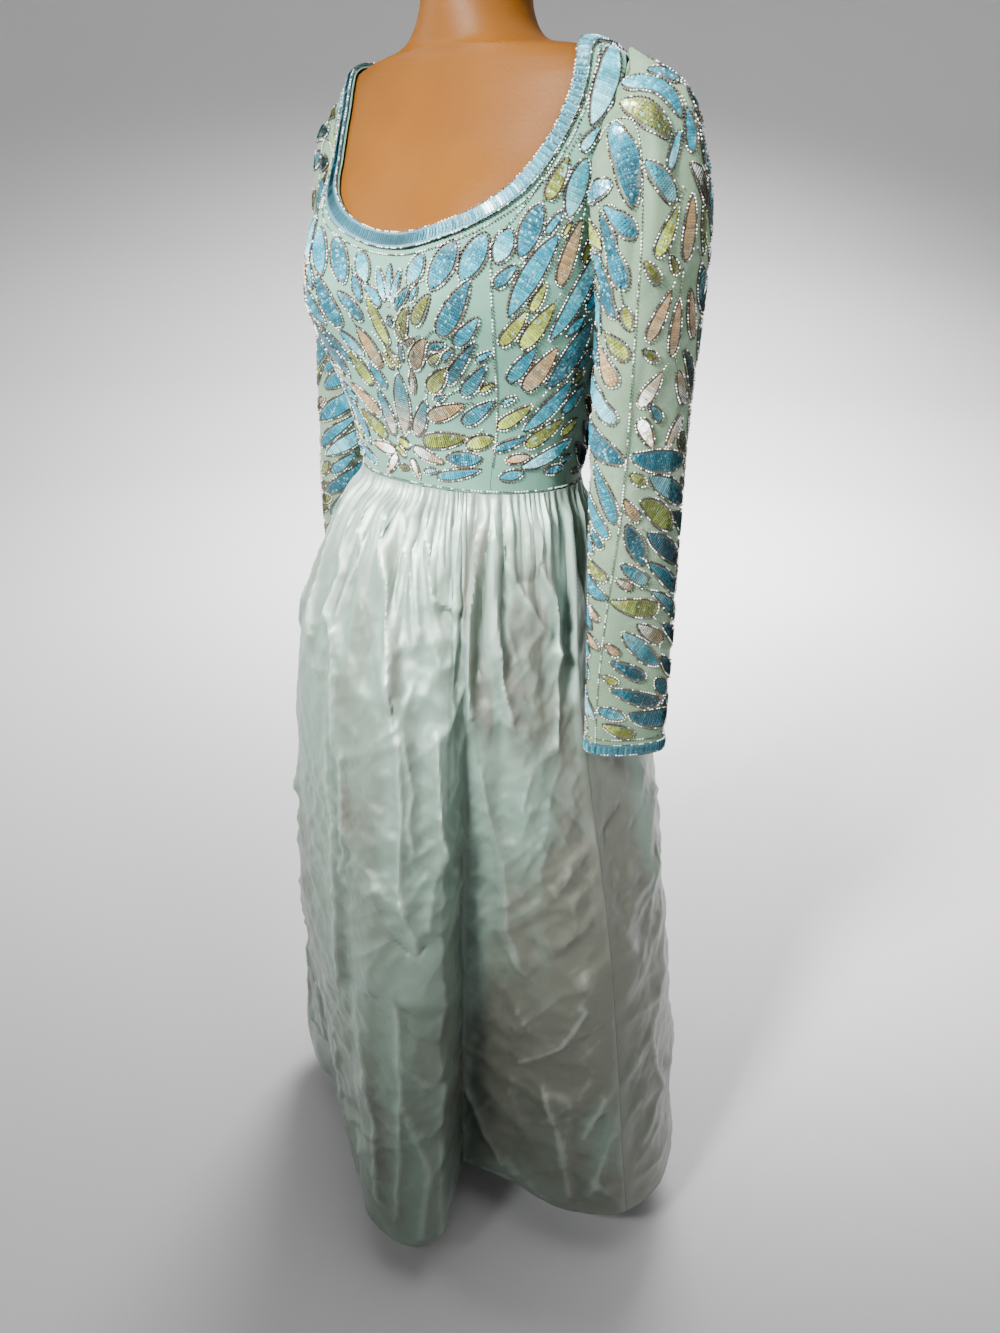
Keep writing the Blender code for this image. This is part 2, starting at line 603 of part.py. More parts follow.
# ---------------------------------------------------------------- dress form and stand
def make_form(finish):
    """The limbless torso, kept inside the cloth and closed flat at both ends."""
    listed = TORSO["height"]
    low, high = listed[listed < WAIST_HEIGHT], listed[listed > FORM_SHOULDER_HEIGHT]
    middle = np.linspace(WAIST_HEIGHT, FORM_SHOULDER_HEIGHT, 10)[:-1]
    heights = np.concatenate([low[:1], [low[:2].mean()], low[1:], middle, high])
    turn = 2 * math.pi * np.arange(FORM_SIDES) / FORM_SIDES
    points = torso(turn[None, :], heights[:, None])
    inset = CLOTH_WALL / 2 + FORM_CLEARANCE
    points = points - torso_normal(turn[None, :], heights[:, None]) * inset
    points[0, :, 2], points[-1, :, 2] = FORM_BOTTOM, FORM_TOP
    bm = bmesh.new()
    verts = [bm.verts.new(p) for p in points.reshape(-1, 3)]
    for face in sheet_faces(*points.shape[:2], wrap=True):
        bm.faces.new([verts[i] for i in face])
    bm.faces.new(verts[:FORM_SIDES][::-1])
    bm.faces.new(verts[-FORM_SIDES:])
    new_object("form_torso", bm, finish)


def make_leg(number, bearing, finish):
    """A flat bar from the hub outwards, with a rounded end."""
    start = HUB_RADIUS + SEAM_GAP
    half = LEG_WIDTH / 2
    end = [math.pi / 2 * (1 - k / 4) for k in range(9)]
    outline = [(LEG_REACH - half + half * math.cos(a), half * math.sin(a)) for a in end]
    outline = [(start, half)] + outline + [(start, -half)]
    bm = bmesh.new()
    bm.faces.new([bm.verts.new((x, y, 0.0)) for x, y in outline])
    made = bmesh.ops.extrude_face_region(bm, geom=list(bm.faces))
    top = [item for item in made["geom"] if isinstance(item, bmesh.types.BMVert)]
    bmesh.ops.translate(bm, vec=(0, 0, LEG_HEIGHT), verts=top)
    leg = new_object(f"form_leg_{number}", bm, finish)
    leg.rotation_euler.z = math.radians(bearing - 90)


def make_stand(metal):
    """The pole under the torso, its collar, the hub that it stands in and four legs."""
    bore = POLE_RADIUS + SEAM_GAP
    pole_top = FORM_BOTTOM - SEAM_GAP
    socket = HUB_HEIGHT - SOCKET_DEPTH
    pole_foot = socket + SEAM_GAP
    pole = [(0, pole_foot), (POLE_RADIUS, pole_foot), (POLE_RADIUS, pole_top), (0, pole_top)]
    turned("form_pole", pole, metal)
    low = pole_top - COLLAR_HEIGHT
    collar = [(bore, low), (COLLAR_RADIUS * 0.7, low), (COLLAR_RADIUS, low + COLLAR_HEIGHT / 2)]
    turned("form_collar", collar + [(COLLAR_RADIUS, pole_top), (bore, pole_top)], metal)
    hub = [(0, 0), (HUB_RADIUS, 0), (HUB_RADIUS, LEG_HEIGHT * 1.4), (HUB_RADIUS * 0.7, HUB_HEIGHT)]
    turned("form_hub", hub + [(bore, HUB_HEIGHT), (bore, socket), (0, socket)], metal)
    for number, bearing in enumerate(LEG_BEARINGS, 1):
        make_leg(number, bearing, metal)


def main():
    clear_scene()
    chiffon = material("mint_chiffon", (0.55, 0.72, 0.66), 0.60)
    taffeta = material("silver_mint_taffeta", (0.50, 0.62, 0.57), 0.38)
    beading = material("aqua_beading", (0.25, 0.52, 0.60), 0.30)
    tan = material("form_tan", (0.62, 0.36, 0.16), 0.55)
    metal = material("stand_metal", (0.16, 0.16, 0.17), 0.35, 0.9)
    make_bodice(chiffon)
    for name, side in (("left", 1), ("right", -1)):
        make_neck_band(f"neck_band_{name}", side, beading)
        make_sleeve(name, side, chiffon, beading)
    make_skirt(taffeta)
    make_form(tan)
    make_stand(metal)


main()
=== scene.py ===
import math

import bpy
import numpy as np
from mathutils import Matrix


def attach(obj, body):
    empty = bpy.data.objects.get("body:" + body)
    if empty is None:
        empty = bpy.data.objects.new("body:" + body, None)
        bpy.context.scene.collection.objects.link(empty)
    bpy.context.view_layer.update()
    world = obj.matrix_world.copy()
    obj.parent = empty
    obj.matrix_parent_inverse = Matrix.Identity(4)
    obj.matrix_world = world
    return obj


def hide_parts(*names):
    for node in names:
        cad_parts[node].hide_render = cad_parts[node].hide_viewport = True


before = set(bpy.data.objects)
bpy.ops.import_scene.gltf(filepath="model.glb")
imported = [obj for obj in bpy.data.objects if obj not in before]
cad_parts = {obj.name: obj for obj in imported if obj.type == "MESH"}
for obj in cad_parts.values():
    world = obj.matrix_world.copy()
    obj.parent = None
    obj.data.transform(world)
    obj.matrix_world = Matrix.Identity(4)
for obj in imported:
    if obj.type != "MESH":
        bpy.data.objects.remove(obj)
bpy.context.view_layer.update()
print("frame loaded:", len(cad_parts), "nodes")

# The gown's front faces -Y and its wearer's left is +X. All sizes are in metres.

# ---- sizes that the cloth shares with the solids
seamInset = 0.00024
clothWall = 0.0012
clothTop = clothWall / 2
trimWall = 0.0016
trimLift = 0.0015
formClearance = 0.0026
armholeLift = 0.00105
shoulderLift = 0.0033
waistHeight = 1.039
hemHeight = 0.083
armpitHeight = 1.262
neckFrontHeight = 1.276
neckBackHeight = 1.376
neckHalfWidth = 0.139
neckSquareness = 2.3
bustPower = 1.16
shoulderHalfWidth = 0.173
armholeFrontTurn = 21.0
armholeBackTurn = 24.0
shoulderSeamLow = 1.385
shoulderSeamRise = 0.052
sleeveThinPower = 0.86
sleeveLongPower = 0.92
sleeveBlend = 0.10
neckStarts = 0.50
bandWidth = 0.013
cuffBandHeight = 0.014
formBottom = 0.800
formTop = 1.530


def table(names, *rows):
    return {name: np.array([row[i] for row in rows], float) for i, name in enumerate(names)}


princess = table(  # the princess seam's share of a panel's width, by row
    ("row", "share"),
    (0.00, 0.500), (0.25, 0.456), (0.50, 0.400), (0.60, 0.310), (0.75, 0.260),
    (0.88, 0.300), (1.00, 0.400),
)

torsoRows = table(  # level sections of the bodice and of the form under it
    ("height", "wide", "front", "back", "frontSquare", "backSquare", "bust", "twist"),
    (0.800, 0.112, 0.076, 0.080, 2.20, 2.20, 0.00, 0),
    (0.860, 0.130, 0.088, 0.094, 2.20, 2.20, 0.00, 0),
    (0.940, 0.133, 0.092, 0.098, 2.20, 2.20, 0.00, 0),
    (1.005, 0.126, 0.095, 0.089, 2.20, 2.20, 0.00, 0),
    (1.039, 0.130, 0.102, 0.092, 2.20, 2.20, 0.00, 0),
    (1.090, 0.139, 0.107, 0.093, 2.30, 2.25, 0.00, 3),
    (1.140, 0.150, 0.120, 0.096, 2.40, 2.30, 0.05, 6),
    (1.180, 0.157, 0.132, 0.100, 2.50, 2.35, 0.12, 8),
    (1.218, 0.162, 0.142, 0.104, 2.45, 2.40, 0.15, 10),
    (1.262, 0.164, 0.136, 0.107, 2.45, 2.40, 0.14, 10),
    (1.310, 0.168, 0.113, 0.105, 2.40, 2.30, 0.08, 10),
    (1.350, 0.176, 0.092, 0.098, 2.20, 2.20, 0.00, 9),
    (1.385, 0.182, 0.074, 0.083, 2.00, 2.00, 0.00, 9),
    (1.405, 0.181, 0.065, 0.075, 1.95, 1.95, 0.00, 8),
    (1.418, 0.174, 0.060, 0.069, 1.90, 1.90, 0.00, 6),
    (1.424, 0.164, 0.058, 0.066, 1.90, 1.90, 0.00, 4),
    (1.429, 0.150, 0.057, 0.064, 1.90, 1.90, 0.00, 2),
    (1.433, 0.132, 0.057, 0.062, 1.90, 1.90, 0.00, 0),
    (1.437, 0.104, 0.056, 0.060, 1.90, 1.90, 0.00, 0),
    (1.442, 0.084, 0.056, 0.059, 1.95, 1.95, 0.00, 0),
    (1.450, 0.070, 0.056, 0.058, 2.00, 2.00, 0.00, 0),
    (1.460, 0.062, 0.056, 0.057, 2.00, 2.00, 0.00, 0),
    (1.476, 0.056, 0.055, 0.056, 2.00, 2.00, 0.00, 0),
    (1.530, 0.055, 0.055, 0.055, 2.00, 2.00, 0.00, 0),
)

foldHeights = (hemHeight, 0.500, 0.820, 0.950)
folds = table(  # each fold's bearing from the front, and its radius at those heights
    ("bearing", "belowWaist", "hip", "middle", "hem"),
    (-170, 0.148, 0.192, 0.262, 0.300), (-152, 0.155, 0.200, 0.248, 0.268),
    (-134, 0.150, 0.186, 0.258, 0.305), (-116, 0.148, 0.176, 0.240, 0.270),
    (-98, 0.150, 0.172, 0.242, 0.300), (-82, 0.154, 0.180, 0.248, 0.314),
    (-64, 0.164, 0.204, 0.238, 0.250), (-44, 0.164, 0.206, 0.224, 0.186),
    (-22, 0.152, 0.190, 0.214, 0.190), (-2, 0.150, 0.186, 0.213, 0.207),
    (13, 0.144, 0.188, 0.228, 0.246), (26, 0.146, 0.178, 0.224, 0.258),
    (35, 0.140, 0.170, 0.206, 0.238), (42, 0.136, 0.152, 0.144, 0.124),
    (54, 0.140, 0.152, 0.150, 0.142), (65, 0.143, 0.158, 0.176, 0.170),
    (77, 0.146, 0.160, 0.206, 0.242), (90, 0.148, 0.166, 0.234, 0.296),
    (104, 0.148, 0.168, 0.250, 0.316), (120, 0.150, 0.186, 0.264, 0.314),
    (138, 0.154, 0.200, 0.260, 0.284), (156, 0.150, 0.190, 0.262, 0.304),
    (174, 0.150, 0.196, 0.252, 0.278),
)

sleeveColumns = ("share", "x", "y", "z", "tilt", "long", "thin", "turn")
sleeveRows = {
    "left": table(
        sleeveColumns,
        (0.00, 0.167, 0.004, 1.342, 88, 0.050, 0.077, 0),
        (0.09, 0.194, 0.006, 1.324, 68, 0.052, 0.077, 0),
        (0.19, 0.207, 0.010, 1.284, 49, 0.055, 0.060, 2),
        (0.30, 0.208, 0.014, 1.217, 14, 0.055, 0.038, 6),
        (0.45, 0.207, 0.016, 1.120, 0, 0.053, 0.033, 12),
        (0.62, 0.210, 0.018, 1.006, 0, 0.049, 0.029, 20),
        (0.80, 0.214, 0.020, 0.886, 0, 0.046, 0.025, 30),
        (1.00, 0.218, 0.020, 0.757, 0, 0.043, 0.018, 40),
    ),
    "right": table(
        sleeveColumns,
        (0.00, 0.167, 0.004, 1.342, 88, 0.050, 0.077, 0),
        (0.09, 0.189, 0.014, 1.322, 71, 0.046, 0.074, 0),
        (0.19, 0.204, 0.020, 1.282, 50, 0.048, 0.056, 0),
        (0.30, 0.211, 0.022, 1.214, 13, 0.049, 0.038, 2),
        (0.45, 0.215, 0.018, 1.120, 0, 0.049, 0.034, 8),
        (0.62, 0.221, 0.014, 1.006, 0, 0.048, 0.030, 14),
        (0.80, 0.225, 0.012, 0.886, 0, 0.046, 0.025, 22),
        (1.00, 0.229, 0.010, 0.757, 0, 0.043, 0.018, 32),
    ),
}
sides = {"left": 1, "right": -1}


# ---- small sums
def through(x, knownX, knownY):  # smooth curve through known points, never past them
    step = np.diff(knownX)
    rise = np.diff(knownY) / step
    before, after = rise[:-1], rise[1:]
    together = before * after > 0
    mean = 2 * before * after / np.where(together, before + after, 1.0)
    slope = np.concatenate([rise[:1], np.where(together, mean, 0.0), rise[-1:]])
    x = np.clip(x, knownX[0], knownX[-1])
    i = np.clip(np.searchsorted(knownX, x, side="right") - 1, 0, len(step) - 1)
    w = (x - knownX[i]) / step[i]
    start = knownY[i] * (1 + 2 * w) + slope[i] * step[i] * w
    end = knownY[i + 1] * (3 - 2 * w) + slope[i + 1] * step[i] * (w - 1)
    return start * (1 - w) ** 2 + end * w**2


def ease(x):
    x = np.clip(x, 0.0, 1.0)
    return x * x * (3 - 2 * x)


def unit(vectors):
    return vectors / np.maximum(np.linalg.norm(vectors, axis=-1, keepdims=True), 1e-12)


def scatter(i, j, seed):  # a number from 0 to 1 that i, j and seed always give again
    value = np.sin(i * 127.1 + j * 311.7 + seed * 74.7) * 43758.5453
    return value - np.floor(value)


def runUp(steps):  # the sum of the steps before each point
    return np.concatenate([[0], np.cumsum(steps)])


def pathRun(points):  # the length of a path up to each of its points
    return runUp(np.linalg.norm(np.diff(points, axis=0), axis=1))


def pathAt(at, run, points):  # places on a path, at given lengths along it
    return np.stack([np.interp(at, run, points[:, k]) for k in range(3)], -1)


def rowMean(rows, reach):  # the mean of each row's values from reach before to reach after
    padded = np.pad(rows, ((0, 0), (reach + 1, reach)), "edge")
    total = np.cumsum(padded, axis=1)
    return (total[:, 2 * reach + 1:] - total[:, :-2 * reach - 1]) / (2 * reach + 1)


def joined(parts):  # lists of arrays, or tables of them, put end to end
    if isinstance(parts[0], dict):
        return {key: np.concatenate([part[key] for part in parts]) for key in parts[0]}
    return [np.concatenate(group) for group in zip(*parts)]


# ---- the forms that the cloth is cut to
# torso: x = wide * cos, y = deep * sin of a superellipse, swelled at the bust.
def torso(turn, height):
    turn, height = np.broadcast_arrays(np.asarray(turn, float), np.asarray(height, float))
    read = {name: through(height, torsoRows["height"], torsoRows[name]) for name in torsoRows}
    c, s = np.cos(turn), np.sin(turn)
    deep = np.where(s < 0, read["front"], read["back"])
    square = np.where(s < 0, read["frontSquare"], read["backSquare"])
    k = (np.abs(c) ** square + np.abs(s) ** square) ** (-1 / square)
    swell = np.sin(math.pi * np.abs(c * k) ** bustPower) ** 2 * np.where(s < 0, read["bust"], 0)
    return np.stack([read["wide"] * c * k, deep * s * k * (1 + swell), height], -1)


# bodiceAt: the torso with its front turned, for a turn that goes all the way round.
def bodiceAt(turn, height):
    twist = np.radians(through(height, torsoRows["height"], torsoRows["twist"]))
    return torso(turn - twist * np.minimum(np.sin(turn), 0), height)


def shoulderHeight(x):
    z = np.linspace(1.388, 1.480, 400)  # the heights between which the shoulder's top is sought
    return np.interp(-x, -torso(0.0, z)[:, 0], z)


def turnAt(x, height, face):
    square = torsoRows["frontSquare" if face < 0 else "backSquare"]
    square = through(height, torsoRows["height"], square)
    share = np.clip(x / through(height, torsoRows["height"], torsoRows["wide"]), 0.0, 1.0)
    return face * np.arctan2((1 - share**square) ** (1 / square), share)


# neckline: a quarter of a superellipse from the centre (w 0) to the shoulder seam (w 1).
def neckline(w, face, outside=0.0):
    halfWidth = neckHalfWidth + outside
    top = shoulderHeight(halfWidth)
    low = (neckFrontHeight if face < 0 else neckBackHeight) - outside
    angle = np.asarray(w, float) * math.pi / 2
    x = halfWidth * np.sin(angle) ** (2 / neckSquareness)
    height = top - (top - low) * np.abs(np.cos(angle)) ** (2 / neckSquareness)
    return turnAt(x, height, face), height


def armhole(w, face):  # from the armpit (w 0) to the shoulder seam (w 1)
    reach = math.radians(armholeFrontTurn if face < 0 else armholeBackTurn)
    rise = 1 - np.cos(np.asarray(w, float) * math.pi / 2)
    height = armpitHeight + (shoulderHeight(shoulderHalfWidth) - armpitHeight) * rise
    return face * reach * np.abs(np.sin(math.pi * rise)) ** 0.7, height


# halfPanel: straight across from the centre or neckline (u 0) to the side or armhole (u 1).
def halfPanel(u, v, face):
    u, v = np.broadcast_arrays(np.asarray(u, float), np.asarray(v, float))
    low = neckFrontHeight if face < 0 else neckBackHeight
    below = np.clip(v / neckStarts, 0, 1)
    above = np.clip((v - neckStarts) / (1 - neckStarts), 0, 1)
    under = v < neckStarts
    neckTurn, neckHeight = neckline(above, face)
    armTurn, armHeight = armhole(above, face)
    innerTurn = np.where(under, face * math.pi / 2, neckTurn)
    innerHeight = np.where(under, waistHeight + (low - waistHeight) * below, neckHeight)
    sideHeight = waistHeight + (armpitHeight - waistHeight) * below
    outerHeight = np.where(under, sideHeight, armHeight)
    turn = innerTurn + (np.where(under, 0.0, armTurn) - innerTurn) * u
    return turn, innerHeight + (outerHeight - innerHeight) * u


def wholeTurn(turn, side):  # a turn on one side, as a turn that goes all the way round
    return turn if side > 0 else math.pi - turn


def armholeLoop(around, side):
    around = np.asarray(around, float) % (2 * math.pi)
    front = around <= math.pi
    w = np.where(front, 1 - around / math.pi, around / math.pi - 1)
    (turnF, heightF), (turnB, heightB) = armhole(w, -1), armhole(w, 1)
    turn, height = np.where(front, turnF, turnB), np.where(front, heightF, heightB)
    lift = clothWall / 2 + armholeLift + shoulderLift * ease(2.2 * w - 0.9)
    points, normals = surface(bodice, wholeTurn(turn, side), height)
    return points + normals * lift[..., None]


# sleeve: rings a little fuller than ellipses along the arm, blended into the armhole.
def sleeve(around, share, sections, side):
    around, share = np.broadcast_arrays(np.asarray(around, float), np.asarray(share, float))
    read = {name: through(share, sections["share"], sections[name]) for name in sections}
    tilt, turn = np.radians(read["tilt"]), np.radians(read["turn"])
    outward = np.stack(
        [np.cos(tilt) * np.cos(turn), -np.cos(tilt) * np.sin(turn), np.sin(tilt)], -1
    )
    forward = np.stack([-np.sin(turn), -np.cos(turn), 0 * turn], -1)
    c, s = np.cos(around), np.sin(around)
    spread = outward * (read["thin"] * np.sign(c) * np.abs(c) ** sleeveThinPower)[..., None]
    reach = read["long"] * np.sign(s) * np.abs(s) ** sleeveLongPower
    spread = spread + forward * reach[..., None]
    blend = ease(share / sleeveBlend)[..., None]
    ring = np.stack([read["x"], read["y"], read["z"]], -1) + spread
    return armholeLoop(around, side) * (1 - blend) + ring * np.array([side, 1, 1]) * blend


# ---- surfaces: a form's points, slopes and outward normals at whole arrays of places
bodice = {"at": bodiceAt, "out": 1}
sleeves = {
    name: {"at": lambda a, b, name=name: sleeve(a, b, sleeveRows[name], sides[name]),
           "out": sides[name]}
    for name in sides
}


def slopes(form, a, b, small=2e-4):
    alongA = (form["at"](a + small, b) - form["at"](a - small, b)) / (2 * small)
    alongB = (form["at"](a, b + small) - form["at"](a, b - small)) / (2 * small)
    return alongA, alongB, unit(np.cross(alongA, alongB)) * form["out"]


def surface(form, a, b):
    return form["at"](a, b), slopes(form, a, b)[2]


# ---- meshes
def gridFaces(rows, columns, wrap=False):
    across = columns if wrap else columns - 1
    i, j = np.meshgrid(np.arange(rows - 1), np.arange(across), indexing="ij")
    k = (j + 1) % columns
    corners = [i * columns + j, i * columns + k, (i + 1) * columns + k, (i + 1) * columns + j]
    return np.stack(corners, -1).reshape(-1, 4)


def fan(ring, centre, count):  # quads from a centre to every second side of a ring
    k = np.arange(0, count, 2)
    return np.stack([np.full(len(k), centre), ring + (k + 2) % count, ring + k + 1, ring + k], -1)


def gridNormals(points, wrap=False):
    if wrap:
        around = np.roll(points, -1, axis=1) - np.roll(points, 1, axis=1)
    else:
        around = np.gradient(points, axis=1)
    return unit(np.cross(around, np.gradient(points, axis=0)))


def newObject(name, points, faces, finish, attributes=None, sharp=40, extra=None):
    mesh = bpy.data.meshes.new(name)
    groups = [np.asarray(group, np.int32) for group in (faces, extra) if group is not None]
    corners = np.concatenate([np.full(len(group), group.shape[1]) for group in groups])
    mesh.vertices.add(len(points))
    mesh.vertices.foreach_set("co", np.asarray(points, np.float32).ravel())
    mesh.loops.add(int(corners.sum()))
    mesh.loops.foreach_set("vertex_index", np.concatenate([group.ravel() for group in groups]))
    mesh.polygons.add(len(corners))
    mesh.polygons.foreach_set("loop_start", (np.cumsum(corners) - corners).astype(np.int32))
    mesh.update(calc_edges=True)
    if mesh.validate():
        print(name, "had faces that Blender mended")
    mesh.shade_smooth()
    mesh.set_sharp_from_angle(angle=math.radians(sharp))
    for key, values in (attributes or {}).items():
        values = np.asarray(values, np.float32)
        kind, field = ("FLOAT_COLOR", "color") if values.ndim > 1 else ("FLOAT", "value")
        mesh.attributes.new(key, kind, "POINT").data.foreach_set(field, values.ravel())
    mesh.materials.append(finish)
    made = bpy.data.objects.new(name, mesh)
    bpy.context.scene.collection.objects.link(made)
    return made


# shell: a sheet moved out and in along its normals by half a wall, its open edges closed.
def shell(name, points, normals, faces, finish, wall=clothWall, attributes=None):
    points, normals = points.reshape(-1, 3), normals.reshape(-1, 3)
    used, faces = np.unique(faces, return_inverse=True)
    faces = faces.reshape(-1, 4)
    points, normals = points[used], normals[used]
    corner = points[faces]
    facing = np.cross(corner[:, 2] - corner[:, 0], corner[:, 3] - corner[:, 1])
    if (facing * normals[faces[:, 0]]).sum() < 0:
        faces = faces[:, ::-1]
    size = len(points)
    both = np.concatenate([points + normals * wall / 2, points - normals * wall / 2])
    edges = np.stack([faces, np.roll(faces, -1, axis=1)], -1).reshape(-1, 2)
    _, index, uses = np.unique(np.sort(edges, 1), axis=0, return_index=True, return_counts=True)
    a, b = edges[index[uses == 1]].T
    rim = np.stack([b, a, a + size, b + size], -1)
    faces = np.concatenate([faces, faces[:, ::-1] + size, rim])
    twice = {}
    for key, values in (attributes or {}).items():
        values = np.asarray(values)
        values = values.reshape(-1, values.shape[-1]) if values.ndim > 2 else values.reshape(-1)
        twice[key] = np.concatenate([values[used]] * 2)
    return newObject(name, both, faces, finish, twice)


# leanShell: a shell of one open grid whose inner side takes every second row and column.
def leanShell(name, points, normals, finish, attributes, wall=clothWall):
    rows, columns = points.shape[:2]
    outer = np.arange(rows * columns).reshape(rows, columns)
    inRows, inColumns = (rows + 1) // 2, (columns + 1) // 2
    inner = rows * columns + np.arange(inRows * inColumns).reshape(inRows, inColumns)
    both = np.concatenate([(points + normals * wall / 2).reshape(-1, 3),
                           (points - normals * wall / 2)[::2, ::2].reshape(-1, 3)])
    outside = gridFaces(rows, columns)
    inside = gridFaces(inRows, inColumns)[:, ::-1] + rows * columns
    edges = ((outer[0], inner[0]), (outer[:, -1], inner[:, -1]),
             (outer[-1, ::-1], inner[-1, ::-1]), (outer[::-1, 0], inner[::-1, 0]))
    quads, thirds = [outside, inside], []
    for fine, coarse in edges:
        a, b, c = fine[:-2:2], fine[1:-1:2], fine[2::2]
        quads.append(np.stack([c, b, coarse[:-1], coarse[1:]], -1))
        thirds.append(np.stack([b, a, coarse[:-1]], -1))
    quads, thirds = np.concatenate(quads), np.concatenate(thirds)
    corner = both[outside]
    facing = np.cross(corner[:, 2] - corner[:, 0], corner[:, 3] - corner[:, 1])
    if (facing * normals[:-1, :-1].reshape(-1, 3)).sum() < 0:
        quads, thirds = quads[:, ::-1], thirds[:, ::-1]
    twice = {}
    for key, values in attributes.items():
        twice[key] = np.concatenate([values.ravel(), values[::2, ::2].ravel()])
    return newObject(name, both, quads, finish, twice, extra=thirds)


def settle(made, slot, *nodes):  # rides on the row's one body, and stands for CAD nodes
    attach(made, "root")
    if nodes:
        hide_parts(*nodes)
    return made


# ---- finishes
class Wire:  # wraps a socket, so that sums on values add their Math nodes
    def __init__(self, finish, socket):
        self.finish, self.socket = finish, socket

    def __add__(self, other):
        return self.finish.math("ADD", self, other)

    __radd__ = __add__

    def __mul__(self, other):
        return self.finish.math("MULTIPLY", self, other)

    __rmul__ = __mul__

    def __sub__(self, other):
        return self.finish.math("SUBTRACT", self, other)

    def __rsub__(self, other):
        return self.finish.math("SUBTRACT", other, self)


class Finish:  # a material with one Principled shader
    def __init__(self, name, **fixed):
        self.material = bpy.data.materials.new(name)
        self.material.use_nodes = True
        self.tree = self.material.node_tree
        self.shader = self.tree.nodes["Principled BSDF"]
        self.set(**fixed)

    def feed(self, socket, value):
        if isinstance(value, Wire):
            self.tree.links.new(value.socket, socket)
        elif isinstance(value, (tuple, list)):
            size = len(socket.default_value)
            socket.default_value = tuple(value) + (1.0,) * (size - len(value))
        else:
            socket.default_value = value

    def set(self, **sockets):  # colour=... feeds the shader's Base Color, and so on
        for key, value in sockets.items():
            self.feed(self.shader.inputs[socketNames[key]], value)

    def node(self, kind, settings=None, sockets=None, out=0):
        made = self.tree.nodes.new(kind)
        for key, value in (settings or {}).items():
            setattr(made, key, value)
        for key, value in (sockets or {}).items():
            self.feed(made.inputs[key], value)
        return Wire(self, made.outputs[out])

    def math(self, operation, first, second):
        settings = {"operation": operation}
        return self.node("ShaderNodeMath", settings, {0: first, 1: second})

    def clamp(self, value):
        settings = {"operation": "ADD", "use_clamp": True}
        return self.node("ShaderNodeMath", settings, {0: value, 1: 0.0})

    def blend(self, mask, first, second):
        return self.node("ShaderNodeMix", {"data_type": "RGBA"}, {0: mask, 6: first, 7: second}, 2)

    def read(self, name, out=0):
        return self.node("ShaderNodeAttribute", {"attribute_name": name}, out=out)

    def spread(self, stretch=(1, 1, 1), turn=(0, 0, 0)):
        place = self.node("ShaderNodeTexCoord", out=3)
        sockets = {"Vector": place, "Scale": stretch, "Rotation": turn}
        return self.node("ShaderNodeMapping", None, sockets)

    def noise(self, size, place=None, detail=3.0, rough=0.5):
        sockets = {"Vector": place or self.spread(), "Scale": 1 / size, "Detail": detail}
        return self.node("ShaderNodeTexNoise", None, {**sockets, "Roughness": rough})

    def bump(self, height, depth, strength=1.0):
        sockets = {"Height": height, "Distance": depth, "Strength": strength}
        self.set(normal=self.node("ShaderNodeBump", None, sockets))


socketNames = {
    "colour": "Base Color", "roughness": "Roughness", "metallic": "Metallic",
    "alpha": "Alpha", "normal": "Normal", "coat": "Coat Weight", "coatRoughness": "Coat Roughness",
    "sheen": "Sheen Weight", "sheenRoughness": "Sheen Roughness", "sheenTint": "Sheen Tint",
    "specular": "Specular IOR Level",
}


def taffetaFinish():
    f = Finish("silverMintTaffeta", metallic=0.40, sheen=0.12, sheenRoughness=0.35,
               sheenTint=(0.80, 0.95, 0.88), specular=0.8, coat=0.35, coatRoughness=0.34)
    # painted shade: the shade attribute mixes the mint towards taupe, the shot cloth's second
    # colour as it shows only at some angles, and darkens troughs, folds turned from the light and
    # the lower skirt
    shade = f.read("shade", out=2)
    cloud = f.noise(0.16, detail=2.0)
    mask = f.clamp(shade + (cloud - 0.5) * 0.4)
    mint = f.blend(f.clamp((cloud - 0.35) * 2.0), (0.195, 0.300, 0.240), (0.240, 0.352, 0.286))
    colour = f.blend(mask, mint, (0.130, 0.132, 0.103))
    # painted highlight on ridges, where the edge attribute is high, and painted shade in troughs
    # and in the deep front fold, where it is low
    edge = f.read("edge", out=2)
    colour = f.blend(f.clamp((edge - 0.60) * 2.2) * 0.34, colour, (0.58, 0.68, 0.61))
    colour = f.blend(f.clamp((0.42 - edge) * 2.6) * 0.60, colour, (0.035, 0.060, 0.050))
    slub = f.noise(0.0016, f.spread((1, 1, 14)), detail=2.0)
    f.set(colour=f.blend((slub - 0.4) * 0.25, colour, (0.60, 0.70, 0.62)),
          roughness=0.34 + (slub - 0.5) * 0.16)
    weave = f.noise(0.0011, f.spread((1, 1, 6)), detail=1.0)
    ridged = {"noise_type": "RIDGED_MULTIFRACTAL"}
    lines, other = (
        f.node("ShaderNodeTexNoise", ridged,
               {"Vector": f.spread((1, 1, flat), turn), "Scale": scale, "Detail": detail})
        for flat, turn, scale, detail in (
            (0.30, (0.55, 0.45, 0.2), 34.0, 2.0), (0.35, (-0.6, -0.5, 0.0), 60.0, 1.0))
    )
    f.bump(weave * 0.12 + lines * 1.2 + other * 0.6, 0.0019, 0.9)
    return f.material


def chiffonFinish(name, light, deep, alpha):
    f = Finish(name, specular=0.25, sheen=0.2, sheenRoughness=0.5)
    cloud = f.noise(0.05, detail=3.0)
    thread = f.noise(0.0009, f.spread((1, 1, 5)), detail=1.0)
    mask = f.clamp((cloud - 0.3) * 1.6)
    f.set(colour=f.blend(mask, deep, light), roughness=0.62 + (thread - 0.5) * 0.2)
    if alpha < 1:
        f.set(alpha=f.clamp(alpha + (cloud - 0.5) * 0.25 + (thread - 0.5) * 0.2))
    f.bump(thread + cloud * 3.0, 0.0005, 0.5)
    return f.material


